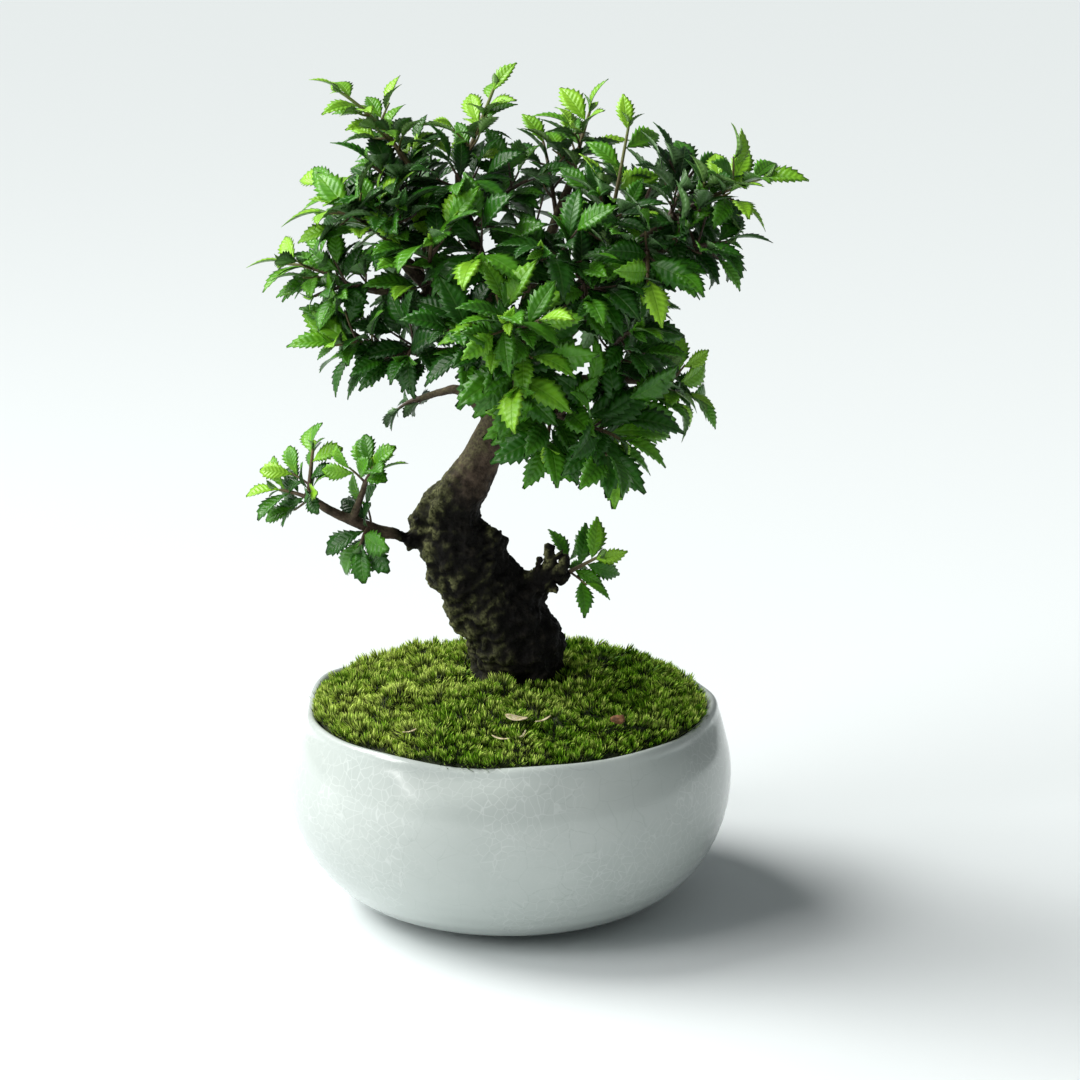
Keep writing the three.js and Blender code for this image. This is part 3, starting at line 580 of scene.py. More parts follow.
def star_moss():
    material, tree, shader = finish("star_moss")
    place = object_place(tree)
    patches = noise_at(tree, place, 60, 3, 0.6)
    speckle = noise_at(tree, place, 700, 1)
    # Painted light: the moss's green is lighter towards the left, the side the light comes from.
    sideways = wired(tree, "ShaderNodeSeparateXYZ", Vector=place).outputs["X"]
    painted_left_light = ranged(tree, sideways, -0.045, 0.02, 0.22, 0)
    patches = sum_of(tree, "ADD", patches, painted_left_light)
    broad = sum_of(tree, "MULTIPLY", patches, 0.6)
    tone = sum_of(tree, "ADD", broad, sum_of(tree, "MULTIPLY", speckle, 0.7))
    fresh = ramp(tree, tone, (0.48, (0.05, 0.17, 0.004)), (0.62, (0.24, 0.5, 0.015)),
                 (0.8, (0.78, 0.97, 0.2)))
    # Partly old growth and partly painted shade down in the moss: each star goes near-black towards its
    # foot.
    depth = ranged(tree, attribute(tree, "reach"), 0.45, 1.0, 0.01, 1)
    tree.links.new(blended(tree, depth, (0.006, 0.012, 0.002), fresh), shader.inputs["Base Color"])
    tree.links.new(ranged(tree, speckle, 0.3, 0.7, 0.5, 0.7), shader.inputs["Roughness"])
    shader.inputs["Specular IOR Level"].default_value = 0.15
    return material


def copied(name, node):
    """A new object with the node's mesh, its loose triangles joined up."""
    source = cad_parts[node].data
    joined = bmesh.new()
    joined.from_mesh(source)
    bmesh.ops.remove_doubles(joined, verts=joined.verts, dist=0.001 * MM)
    mesh = bpy.data.meshes.new(name)
    joined.to_mesh(mesh)
    joined.free()
    return shown(name, mesh)


def mounded(cushion):
    """Lifts the cushion's face into the small mounds that the moss grows in."""
    soft = bmesh.new()
    soft.from_mesh(cushion.data)
    bmesh.ops.subdivide_edges(soft, edges=soft.edges, cuts=MOUND_CUTS, use_grid_fill=True)
    soft.normal_update()
    for corner in soft.verts:
        rise = noise.fractal(corner.co / MM / MOUND_REACH, 0.8, 2, 3)
        inside = smooth_share(MOUTH_RADIUS - 1, MOUTH_RADIUS - 6, math.hypot(*corner.co.xy) / MM)
        if corner.normal.z > MOUND_FACING:
            corner.co.z += MOUND_HEIGHT * rise * inside * MM
    soft.to_mesh(cushion.data)
    soft.free()


moss_star = shown("moss_star", tuft_mesh())
moss_tree = moss_rule()
# The mat is old stems and painted shade deep in the moss: near-black, darker than the soil.
moss_mat = grained("moss_mat", 1, 0.0008, Fineness=500, Dark=(0.004, 0.008, 0.002),
                   Light=(0.02, 0.032, 0.006), Smooth=0.85, Rough=1)
moss_finishes = {"Mat_finish": moss_mat, "Star_finish": star_moss()}
for number, side in enumerate(("front", "back_right", "back_left")):
    cushion = copied(f"moss_cushion_{side}", f"moss_{side}")
    mounded(cushion)
    grown(cushion, moss_tree, Star=moss_star, Spacing=TUFT_SPACING * MM, Sink=-TUFT_SINK * MM,
          Seed=TUFT_SEED + number, **moss_finishes)
    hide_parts(f"moss_{side}")
    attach(cushion, "root")
bpy.data.objects.remove(moss_star)

# ---------------------------------------------------------------- trunk and limbs
# Old elm wood: a short, leaning trunk with pruning scars and a broken stub, and the limbs that
# carry the crown. The bark is thick, dark and cracked below, and thin and brown on the limbs.

# Each limb: the points its middle runs through, (x, y, height above the pot's rim), and radii.
LIMBS = {
    "trunk": ([[2.6, 7, -9], [2, 6.5, 1.8], [1, 6, 13.2], [-3.4, 5, 22], [-8.2, 4, 30], [-12.6, 3, 38],
               [-13.6, 2.5, 44.6], [-10.6, 2, 50.8], [-6.6, 1.5, 58], [-4.2, 1, 63.7], [-1.8, 0.5, 69],
               [0, 0, 74]],
              [11.4, 10.8, 10.9, 10.2, 9.8, 9.2, 7.8, 5.9, 4.7, 4.1, 3.7, 3.2]),
    "left": ([[-1, 0, 70], [-6.8, -4, 85.2], [-14.2, -6, 96], [-23.1, -6, 105.8], [-27.6, -4, 111.6]],
             [2.8, 2.2, 1.8, 1.4, 1]),
    "low_left": ([[-6.5, -4, 85], [-17.7, -7, 85.2], [-27.1, -9, 87.6]], [1.6, 1.3, 0.9]),
    "far_left": ([[-14.2, -6, 96], [-24.4, -8, 98.8], [-36.6, -5, 100.4]], [1.5, 1.2, 0.8]),
    "top_left": ([[-14.5, -6, 96.5], [-18.3, 3, 111.2], [-21.9, 8, 125.8]], [1.5, 1.2, 0.8]),
    "top_centre": ([[-1, 0, 71], [-3.5, 2, 90], [-6.4, 4, 104.6], [-10.5, 6, 118.1], [-11.4, 6, 124.5]],
                   [2.7, 2.1, 1.7, 1.2, 0.9]),
    "right": ([[-0.5, 0, 71], [8.4, -2, 89.5], [20.9, -4, 103.6], [32.1, -4, 111.6], [41, -4, 118.2]],
              [3, 2.5, 1.9, 1.4, 1]),
    "right_twig": ([[24, -4, 106], [30, -8, 109], [37, -11, 109.4]], [1.4, 1.1, 0.8]),
    "low_right": ([[-0.5, 0, 71.5], [11.9, -4, 77.1], [23.3, -4, 78.7], [32.1, 0, 77]],
                  [2.2, 1.7, 1.3, 0.9]),
    "front": ([[-1, 0, 72], [-0.6, -14, 82.6], [1.8, -26, 90.7]], [2.2, 1.6, 0.9]),
    "front_low": ([[-0.5, 0, 71.5], [8.4, -14, 74.6], [17, -21, 70]], [1.8, 1.4, 0.8]),
    "back": ([[-0.5, 0, 71], [2.6, 14, 86.4], [8.5, 24, 103.6], [15.5, 28, 122]], [2.6, 2, 1.5, 0.9]),
    "back_left": ([[-1, 1, 71], [-13.9, 20, 87.7], [-23.4, 26, 100.9]], [2.2, 1.5, 0.9]),
    "back_right": ([[-0.5, 1, 72], [12, 14, 84], [23.9, 26, 93.4], [35.9, 30, 102.4]],
                   [2.3, 1.8, 1.4, 0.9]),
    "inner": ([[-3, 1, 67], [-10.8, 6, 73.5], [-16, 10, 72.5], [-22.1, 14, 69.7]], [1.6, 1.2, 1, 0.8]),
    "lower_left": ([[-15, 2, 41], [-20.7, 0, 39.4], [-25.7, -2, 41.6], [-29.8, -3, 42.4], [-36.2, -4, 45.3],
                    [-42.1, -4, 48.1], [-46.9, -4, 51.9]], [2.6, 2.1, 1.7, 1.5, 1.3, 1.1, 0.8]),
    "lower_left_twig": ([[-36.2, -4, 45.3], [-33.9, -8, 51.5], [-32.5, -9, 56]], [1, 0.9, 0.7]),
    "stub": ([[0, 4, 20], [4.6, 4.5, 26.6], [8.8, 5, 30], [13.4, 5.5, 29.4]], [5, 3.8, 2.3, 1.2]),
    "stub_spur": ([[7.5, 4.6, 29.6], [9.8, 3.6, 33.5], [9.2, 3.4, 37.6]], [1.8, 1.2, 0.8]),
    "stub_fork": ([[8.2, 4.6, 30], [12.4, 3, 32.4], [13, 2.6, 35.2]], [1.6, 1.1, 0.7]),
    "root_left": ([[3, 6.5, -1], [-9, 4, -8], [-24, 2, -16]], [6, 3.6, 1.6]),
    "root_front": ([[3, 6.5, -1], [0, -8, -8], [-4, -24, -18]], [6, 3.4, 1.5]),
    "root_right": ([[3, 6.5, -1], [16, 1, -8], [30, -6, -17]], [6, 3.4, 1.5]),
    "root_back": ([[3, 6.5, -1], [8, 18, -8], [14, 30, -18]], [6, 3.2, 1.4]),
    "tap_root": ([[3, 6.5, -2], [2, 5, -14], [0, 3, -25]], [8, 4.5, 1.8]),
}
# The stub's broken spurs: foot, tip, and radii.
SPURS = [
    ([4.5, 4.5, 27], [7.2, 2, 34.5], [2.4, 1]),
    ([6, 4, 28], [12.8, 1.5, 37.2], [2, 0.7]),
    ([9, 5, 29.5], [14.6, 6.5, 33], [1.5, 0.6]),
    ([8.5, 4, 28.5], [11.5, 1, 26.2], [1.7, 0.8]),
    ([7, 6, 27], [8, 8, 22], [2.2, 1.2]),
]
# Pruning scars and burrs: middle, and half-sizes.
BURRS = [
    ([-20.6, 1.4, 43.2], [2.9, 3, 2.9]),
    ([-16, 2.4, 42.4], [4.6, 5, 4.4]),
    ([-6, 1.6, 37.4], [5.2, 5, 5]),
    ([9.6, 6, 11], [3.4, 4.8, 7]),
    ([-10.5, -3.2, 31], [4.2, 3, 5.4]),
]
ROD_SIDES = 20
SPUR_SIDES = 10
RINGS_PER_SPAN = 6
BARK_GRAIN = 0.46
BARK_SMOOTHING = 4
FOLD_SIZE = 7
PLATE_SIZE = (3.2, 3.2, 4.6)
GRAIN_SIZE = 0.9
WRINKLE_PITCH = 3.4
# How deep each goes in young wood, and how much deeper in old.
FOLD_DEPTHS = (0.12, 1.7)
PLATE_DEPTHS = (0.06, 0.65)
GRAIN_DEPTHS = (0.05, 0.3)
WRINKLE_DEPTHS = (0, 0.4)
YOUNG_RADIUS = 3.6
OLD_RADIUS = 8
TRUNK_STEPS = 240
STUB_MIDDLE = (9.5, 4, 31)
STUB_REACH = (12, 8)
# Heights over the rim across which the moss and painted highlight come in.
MOSS_AND_HIGHLIGHT_HEIGHTS = (3, 22)


def planted(point):
    return np.array([point[0], point[1], POT_HEIGHT + point[2]], float)


def limb_at(limb, along):
    """The limb's middle at a share of its way: a curve through its points."""
    points = [planted(point) for point in LIMBS[limb][0]]
    points = [2 * points[0] - points[1], *points, 2 * points[-1] - points[-2]]
    place = along * (len(points) - 3)
    before = min(int(place), len(points) - 4)
    rest = place - before
    a, b, c, d = points[before:before + 4]
    leave, arrive = (c - a) / 2, (d - b) / 2
    return ((2 * b - 2 * c + leave + arrive) * rest ** 3 + (3 * c - 3 * b - 2 * leave - arrive) * rest ** 2
            + leave * rest + b)


def between(numbers, along):
    return float(np.interp(along * (len(numbers) - 1), range(len(numbers)), numbers))


def unit(vector):
    return vector / np.linalg.norm(vector)


def rod(shell, middles, radii, sides):
    """A closed round rod through the middles, added to the shell."""
    side = np.array([1.0, 0, 0])
    rings = []
    for number, (middle, radius) in enumerate(zip(middles, radii)):
        ahead = middles[min(number + 1, len(middles) - 1)] - middles[max(number - 1, 0)]
        tangent = unit(ahead)
        side = unit(side - side.dot(tangent) * tangent)
        front = np.cross(tangent, side)
        turns = [2 * math.pi * step / sides for step in range(sides)]
        ring = [middle + radius * (math.cos(turn) * side + math.sin(turn) * front) for turn in turns]
        rings.append([shell.verts.new(corner * MM) for corner in ring])
    for low, high in zip(rings, rings[1:]):
        for step in range(sides):
            after = (step + 1) % sides
            shell.faces.new((low[step], low[after], high[after], high[step]))
    shell.faces.new(rings[0][::-1])
    shell.faces.new(rings[-1])


def rough_wood():
    """All rods and burrs together, melted into one skin."""
    shell = bmesh.new()
    for limb, (points, radii) in LIMBS.items():
        steps = RINGS_PER_SPAN * (len(points) - 1)
        places = [step / steps for step in range(steps + 1)]
        middles = [limb_at(limb, place) for place in places]
        rod(shell, middles, [between(radii, place) for place in places], ROD_SIDES)
    for foot, tip, radii in SPURS:
        middles = [planted(foot), (planted(foot) + planted(tip)) / 2, planted(tip)]
        rod(shell, middles, [*radii, radii[1] * 0.8], SPUR_SIDES)
    for middle, half in BURRS:
        place = Matrix.LocRotScale(Vector(planted(middle) * MM), None, Vector(half) * MM)
        bmesh.ops.create_icosphere(shell, subdivisions=3, radius=1, matrix=place)
    mesh = bpy.data.meshes.new("elm_wood")
    shell.to_mesh(mesh)
    shell.free()
    wood = shown("elm_wood", mesh)
    melt = wood.modifiers.new("melt", "REMESH")
    melt.mode = "VOXEL"
    melt.voxel_size = BARK_GRAIN * MM
    soften = wood.modifiers.new("soften", "SMOOTH")
    soften.iterations = BARK_SMOOTHING
    return applied(wood)


def trunk_finder():
    """Tells how much of a place is old, thick wood, from 0 to 1, and how far up the trunk it is."""
    finder = kdtree.KDTree(TRUNK_STEPS + 1)
    facts = []
    climbed = 0
    before = limb_at("trunk", 0)
    for step in range(TRUNK_STEPS + 1):
        middle = limb_at("trunk", step / TRUNK_STEPS)
        climbed += np.linalg.norm(middle - before)
        before = middle
        finder.insert(middle, step)
        facts.append((between(LIMBS["trunk"][1], step / TRUNK_STEPS), climbed))
    finder.balance()

    def look(point):
        _, number, away = finder.find(point)
        radius, height = facts[number]
        return smooth_share(YOUNG_RADIUS, OLD_RADIUS, radius) * smooth_share(8, 3, away - radius), height

    return look


def deep(depths, old):
    young, more = depths
    return young + more * old


def barked(wood):
    """Pushes the skin in and out into folds, plates and cracks, and notes each spot's age, its painted
    shade in the cracks, and its moss and painted highlight.
    """
    mesh = wood.data
    trunk_near = trunk_finder()
    stub = Vector(planted(STUB_MIDDLE))
    count = len(mesh.vertices)
    oldness, crevice_shade, moss_and_highlight = np.zeros(count), np.zeros(count), np.zeros(count)
    normals = [Vector(vertex.normal) for vertex in mesh.vertices]
    for number, (vertex, normal) in enumerate(zip(mesh.vertices, normals)):
        place = vertex.co / MM
        old, climbed = trunk_near(place)
        old = max(old, smooth_share(*STUB_REACH, (place - stub).length))
        folds = noise.fractal(place / FOLD_SIZE, 1, 2, 2)
        upright = Vector([way / size for way, size in zip(place, PLATE_SIZE)])
        plates = noise.ridged_multi_fractal(upright, 0.9, 2.1, 3, 0.9, 2)
        grain = noise.noise(place / GRAIN_SIZE)
        pinch = noise.noise(place / 5) * 2.5 + noise.noise(place / 2.2) * 1.2
        wrinkle = abs(math.sin(math.pi * climbed / WRINKLE_PITCH + pinch)) - 0.6
        swell = deep(FOLD_DEPTHS, old) * folds + deep(PLATE_DEPTHS, old) * (plates - 1.1)
        swell += deep(GRAIN_DEPTHS, old) * grain + deep(WRINKLE_DEPTHS, old) * wrinkle
        vertex.co += normal * swell * MM
        oldness[number] = old
        # Painted shade: the old bark goes near-black in the low cracks between its plates and folds.
        crevice_shade[number] = old * smooth_share(1.2, 0.4, plates + 0.4 * folds + 0.7 * wrinkle)
        # Moss and painted highlight: an olive tint in damp patches, stronger on faces turned up and to the
        # left towards the light, and fading out low on the trunk.
        damp_and_lit = 0.5 * noise.noise(place / 9) + 0.3 * noise.noise(place / 1.6) + 0.35 * wrinkle
        damp_and_lit += 0.3 * normal.z - 0.75 * normal.x
        off_ground = smooth_share(*MOSS_AND_HIGHLIGHT_HEIGHTS, place.z - POT_HEIGHT)
        moss_and_highlight[number] = (0.3 + 0.7 * old) * (0.15 + 0.85 * off_ground) * smooth_share(-0.1, 0.65, damp_and_lit)
    for name, values in (("oldness", oldness), ("crevice_shade", crevice_shade), ("moss_and_highlight", moss_and_highlight)):
        mesh.attributes.new(name, "FLOAT", "POINT").data.foreach_set("value", values)
    mesh.shade_smooth()


def elm_bark():
    material, tree, shader = finish("elm_bark")
    place = object_place(tree)
    plates = noise_at(tree, place, 420, 5, 0.65)
    fine = placed(tree, fine_grain, Fineness=1500)["Grain"]
    old = ramp(tree, plates, (0.38, (0.0015, 0.0013, 0.001)), (0.56, (0.007, 0.006, 0.0045)),
               (0.74, (0.035, 0.03, 0.022)))
    young = ramp(tree, plates, (0.35, (0.02, 0.013, 0.009)), (0.7, (0.12, 0.085, 0.06)))
    wood = blended(tree, ranged(tree, attribute(tree, "oldness"), 0.1, 0.75), young, old)
    # Moss and painted highlight: olive on damp patches and on the faces turned to the light.
    green = ramp(tree, fine, (0.35, (0.03, 0.032, 0.01)), (0.7, (0.29, 0.3, 0.13)))
    mossed_and_highlit = blended(tree, sum_of(tree, "MULTIPLY", attribute(tree, "moss_and_highlight"), 0.8), wood, green)
    # Painted shade in the bark's cracks.
    depth = sum_of(tree, "MULTIPLY", attribute(tree, "crevice_shade"), 0.9)
    shaded_cracks = blended(tree, depth, mossed_and_highlit, (0.003, 0.0025, 0.002))
    tree.links.new(shaded_cracks, shader.inputs["Base Color"])
    tree.links.new(ranged(tree, fine, 0.3, 0.7, 0.6, 0.85), shader.inputs["Roughness"])
    shader.inputs["Specular IOR Level"].default_value = 0.12
    bumped(tree, sum_of(tree, "ADD", plates, sum_of(tree, "MULTIPLY", fine, 0.4)), 0.8, 0.0007, shader)
    return material


wood = rough_wood()
barked(wood)
wood.data.materials.append(elm_bark())
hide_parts("trunk")
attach(wood, "root")

# ---------------------------------------------------------------- leafy shoots
# Thin stems that end the limbs, green where they are this year's. Their alternate leaves are
# toothed, folded along the midrib and pleated by the side veins, and a bud opens at each tip.

# Each shoot: the limb it springs from and how far along, its tip, how far its middle bows
# upwards, its leaves, their size, its age, 0 for this week's to 1 for last year's, and its twigs.
SHOOTS = {
    "top_left_arch": ("top_left", 0.95, [-38, 8, 142.4], 4, 6, 0.78, 0.2, 1),
    "top_left_back": ("top_left", 0.8, [-30, 18, 134], 3, 5, 0.8, 0.6, 1),
    "top_left_front": ("top_left", 0.62, [-30.5, 1, 126.5], 2, 5, 0.95, 0.8, 1),
    "top_centre_spire": ("top_centre", 0.95, [-3.1, 8, 143.3], 0, 6, 0.8, 0.25, 1),
    "top_centre_front": ("top_centre", 0.72, [-9.5, -8, 124], 3, 5, 0.95, 0.8, 2),
    "top_centre_right": ("top_centre", 0.62, [7, 2, 124], 4, 5, 0.9, 0.7, 2),
    "top_back_spire": ("back", 0.95, [19, 30, 135.5], 1, 5, 0.9, 0.35, 1),
    "top_back_left": ("back", 0.8, [8, 35, 128], 3, 5, 0.85, 0.6, 1),
    "top_right_spire": ("right", 0.5, [27.4, 8, 134.5], -2, 6, 0.9, 0.3, 1),
    "top_right_front": ("right", 0.55, [20.6, -14, 122], 4, 5, 0.95, 0.8, 2),
    "top_right_back": ("back_right", 0.7, [34, 14, 122.5], 3, 6, 0.95, 0.8, 1),
    "right_long": ("right", 0.98, [57, -6, 124.7], 1, 6, 0.95, 0.35, 1),
    "right_upper": ("right", 0.85, [42, 3, 125], 2, 5, 1, 0.85, 1),
    "right_under": ("right", 0.9, [42, -10, 110.5], 3, 5, 0.9, 0.9, 1),
    "right_twig": ("right_twig", 0.95, [49, -12, 111.4], 0, 5, 0.95, 0.8, 1),
    "right_face": ("right_twig", 0.6, [31, -22, 104], 4, 5, 1, 0.5, 2),
    "right_low": ("right", 0.62, [31, -8, 97], 4, 5, 0.95, 0.9, 2),
    "right_back": ("back_right", 0.95, [44, 30, 106], 2, 5, 0.95, 0.8, 1),
    "far_left_tip": ("far_left", 0.95, [-50, -2, 104.8], 2, 6, 0.85, 0.35, 1),
    "far_left_low": ("far_left", 0.7, [-43, -14, 99.5], 3, 5, 0.85, 0.7, 1),
    "left_upper": ("left", 0.97, [-40, -7, 117], 4, 5, 1, 0.45, 2),
    "left_top_bright": ("left", 0.85, [-41, 10.5, 122], 4, 5, 0.85, 0.2, 1),
    "left_inner_up": ("left", 0.9, [-24, -12, 119], 2, 5, 0.95, 0.8, 1),
    "low_left_fan": ("low_left", 0.95, [-38.5, -14.5, 88.5], 1, 6, 1, 0.5, 1),
    "low_left_inner": ("low_left", 0.6, [-22, -20, 87], 3, 5, 1, 0.9, 2),
    "left_front": ("left", 0.6, [-16.5, -21, 113], 3, 5, 1.1, 0.6, 2),
    "front_upper": ("top_centre", 0.45, [-6, -26, 109.5], 6, 5, 1.15, 0.55, 2),
    "front_centre": ("front", 0.95, [0.4, -37, 98], 3, 5, 1.1, 0.5, 2),
    "front_left": ("front", 0.7, [-13, -31, 95], 3, 5, 1.05, 0.85, 2),
    "front_lower": ("front", 0.6, [2.5, -35, 83.5], 4, 6, 1.2, 0.55, 2),
    "front_right_upper": ("right", 0.4, [8, -25, 111.5], 5, 5, 1.1, 0.8, 2),
    "front_right": ("right", 0.42, [17.5, -28, 101], 4, 5, 1.1, 0.75, 2),
    "right_cluster": ("low_right", 0.6, [28, -22, 93], 6, 6, 1.05, 0.7, 2),
    "low_right_bend": ("low_right", 0.95, [44, 2, 72], 3, 6, 0.85, 0.45, 1),
    "hanging_front": ("front_low", 0.95, [25, -26, 69.5], 2, 6, 1.25, 0.55, 2),
    "hanging_centre": ("front_low", 0.6, [9, -27, 69], 2, 5, 1.1, 0.6, 2),
    "hanging_right": ("low_right", 0.7, [28, -12, 73], 3, 5, 0.95, 0.7, 1),
    "back_middle": ("back", 0.7, [-6, 36, 113], 4, 6, 1, 0.8, 1),
    "back_left_tip": ("back_left", 0.95, [-34, 28, 110], 3, 6, 1, 0.7, 1),
    "back_left_low": ("back_left", 0.7, [-26, 32, 88], 3, 5, 1.05, 0.85, 1),
    "back_left_up": ("back_left", 0.85, [-18, 30, 122], 4, 5, 0.95, 0.7, 1),
    "back_right_low": ("back_right", 0.6, [26, 36, 84], 4, 5, 1.1, 0.85, 1),
    "back_right_up": ("back_right", 0.85, [28, 36, 116], 4, 6, 1, 0.7, 1),
    "inner_left": ("inner", 0.9, [-26, 15, 67.5], 1, 4, 0.6, 0.9, 0),
    "lower_left_up": ("lower_left", 0.97, [-44.8, -4, 62.3], 1, 5, 0.72, 0.45, 0),
    "lower_left_tip": ("lower_left", 0.9, [-53, -2, 52], 1, 5, 0.72, 0.5, 0),
    "lower_left_twig": ("lower_left_twig", 0.9, [-30.6, -10, 59.5], 0, 5, 0.72, 0.45, 0),
    "lower_left_low": ("lower_left", 0.55, [-34, -9, 40.5], 3, 5, 0.85, 0.7, 0),
    "right_stub": ("stub", 0.95, [20.7, 5, 33.9], 0, 5, 0.78, 0.4, 0),
}
BOWS = [0, 4, -4, 8]
FORKS = [(48, 1), (48, -1), (70, 1), (70, -1)]
TURNS = [(54, 32), (40, 18), (68, 46), (50, -8), (82, 58), (30, 48), (62, 76), (20, 0)]
LEAF_LENGTH = 13.5
LEAF_WIDTH = 0.46
LEAF_ARCH = 0.07
LEAF_DROOP = 0.14
LEAF_FOLD = 0.3
LEAF_SKIN = 0.012
TEETH = 8
TOOTH_CROWDING = 0.92
NOTCH_SHARE = 0.84
TOOTH_SHARE = 1.08
VEIN_RANKS = 9
VEIN_SLANT = 0.75
STALK = 0.07
STEM_RADII = (0.62, 0.34)
TWIG_RADII = (0.32, 0.22)
BARE_STEM = 0.3
BARE_TWIG = 0.6
TWIG_LENGTH = 8.5
TWIG_LEAVES = 2
TWIG_LEAF = 0.85
TIP_SEAT = 1
STEM_RINGS = 12
CROWN_MIDDLE = planted((0, 0, 88))
SAME_PLACE = 0.05
FILL_TWIGS = 5
SPARSE_TWIGS = 2
BUD_LEAFLETS = 3
FILL_FORK = 62
FILL_LENGTH = 6.5
FILL_REACH = (0.06, 0.6)
ROUND_LEAVED = ("lower_left_up", "lower_left_tip", "lower_left_twig", "lower_left_low", "inner_left")
ELM_OUTLINE = [0, 0.34, 0.66, 0.88, 0.99, 0.98, 0.85, 0.6, 0.3, 0]
ROUND_OUTLINE = [0, 0.22, 0.48, 0.74, 0.95, 1.1, 1.15, 1.02, 0.66, 0]


def leaf_mesh(name, outline):
    """A leaf of length 1 along +X that faces +Z: a folded, toothed blade with two skins."""
    shell = bmesh.new()
    uv = shell.loops.layers.uv.new("blade")
    places = {}

    def corner(along, across, lift):
        rise = 4 * LEAF_ARCH * along * (1 - along) - LEAF_DROOP * along * along
        place = shell.verts.new((along, across, rise + lift))
        places[place] = (along, 0.5 + across)
        return place

    def half_width(along):
        return LEAF_WIDTH / 2 * between(outline, max(0, (along - STALK) / (1 - STALK)))

    ribs = [STALK + (1 - STALK) * (tooth / TEETH) ** TOOTH_CROWDING for tooth in range(TEETH + 1)]
    top_rib = [corner(along, 0, LEAF_SKIN / 2) for along in ribs]
    low_rib = [corner(along, 0, -LEAF_SKIN / 2) for along in ribs[:-1]] + [top_rib[-1]]
    foot = corner(0, 0, 0)
    for sign in (1, -1):
        notches, tips, middles = [], [], []
        for tooth, along in enumerate(ribs):
            wide = max(half_width(along) * NOTCH_SHARE, 0.014) if tooth < TEETH else 0
            notches.append(corner(along, sign * wide, LEAF_FOLD * wide) if tooth < TEETH else top_rib[-1])
            inner = 0 < tooth < TEETH
            lift = LEAF_FOLD * wide * 0.72 + LEAF_SKIN
            middles.append(corner(along - 0.02, sign * wide * 0.55, lift) if inner else None)
        for tooth in range(TEETH):
            along = ribs[tooth] + 0.8 * (ribs[tooth + 1] - ribs[tooth])
            wide = half_width(along) * TOOTH_SHARE + 0.016
            tips.append(corner(along + 0.02, sign * wide, LEAF_FOLD * wide - 0.01))
        for tooth in range(TEETH):
            here, after = middles[tooth] or top_rib[tooth], middles[tooth + 1] or notches[tooth + 1]
            skins = [
                (top_rib[tooth], top_rib[tooth + 1], after, here),
                (here, after, tips[tooth], notches[tooth]),
                (after, notches[tooth + 1], tips[tooth]),
                (low_rib[tooth], notches[tooth], tips[tooth], notches[tooth + 1], low_rib[tooth + 1]),
            ]
            for skin in skins:
                ring = list(dict.fromkeys(skin))
                if len(ring) > 2:
                    shell.faces.new(ring if sign > 0 else ring[::-1])
        for rib in (top_rib[0], low_rib[0]):
            ring = [foot, rib, notches[0]]
            upper = rib is top_rib[0]
            shell.faces.new(ring if (sign > 0) == upper else ring[::-1])
    bmesh.ops.recalc_face_normals(shell, faces=shell.faces)
    for face in shell.faces:
        for loop in face.loops:
            loop[uv].uv = places[loop.vert]
        face.smooth = True
    mesh = bpy.data.meshes.new(name)
    shell.to_mesh(mesh)
    under = mesh.attributes.new("underside", "FLOAT", "FACE")
    under.data.foreach_set("value", [float(face.normal.z < 0) for face in mesh.polygons])
    shell.free()
    return mesh


def bend(path, along):
    start, middle, end = path
    return (1 - along) ** 2 * start + 2 * along * (1 - along) * middle + along ** 2 * end


def heading(path, along):
    start, middle, end = path
    return unit((1 - along) * (middle - start) + along * (end - middle))


def stem_path(limb, along, tip, rise):
    start = limb_at(limb, along)
    end = planted(tip)
    middle = (start + end) / 2
    middle[2] += rise
    return start, middle, end


def sides_of(path, along):
    foot, tangent = bend(path, along), heading(path, along)
    light = 0.7 * unit(foot - CROWN_MIDDLE) + np.array([0, -0.25, 0.8])
    up = unit(light - light.dot(tangent) * tangent)
    return foot, tangent, up, np.cross(tangent, up)


def leaf_place(stem, number):
    return stem["bare"] + (1 - stem["bare"]) * number / (stem["leaves"] - 1)


def twig_of(stem, number, fork, hand):
    foot, tangent, up, across = sides_of(stem["path"], leaf_place(stem, number))
    sign = hand * (-1 if (number + stem["number"]) % 2 == 0 else 1)
    away = tangent * math.cos(math.radians(fork)) + across * sign * math.sin(math.radians(fork))
    length = TWIG_LENGTH * stem["size"]
    path = foot, foot + away * length / 2, foot + away * length + up * 0.18 * length
    return {"path": path, "leaves": TWIG_LEAVES, "size": stem["size"] * TWIG_LEAF, "bare": BARE_TWIG,
            "number": stem["number"] + number + 1}


def fill_twig(stem, number):
    """One of the short twigs all round a stem that thicken the crown."""
    foot, tangent, up, across = sides_of(stem["path"], between(FILL_REACH, number / (FILL_TWIGS - 1)))
    turn = GOLDEN_TURN * number + stem["number"]
    fork = math.radians(FILL_FORK)
    away = tangent * math.cos(fork) + (across * math.cos(turn) + up * math.sin(turn)) * math.sin(fork)
    length = FILL_LENGTH * stem["size"]
    path = foot, foot + away * length / 2, foot + away * length + up * 0.2 * length
    return {"path": path, "leaves": 3, "size": stem["size"] * TWIG_LEAF, "bare": BARE_STEM,
            "number": stem["number"] + number}


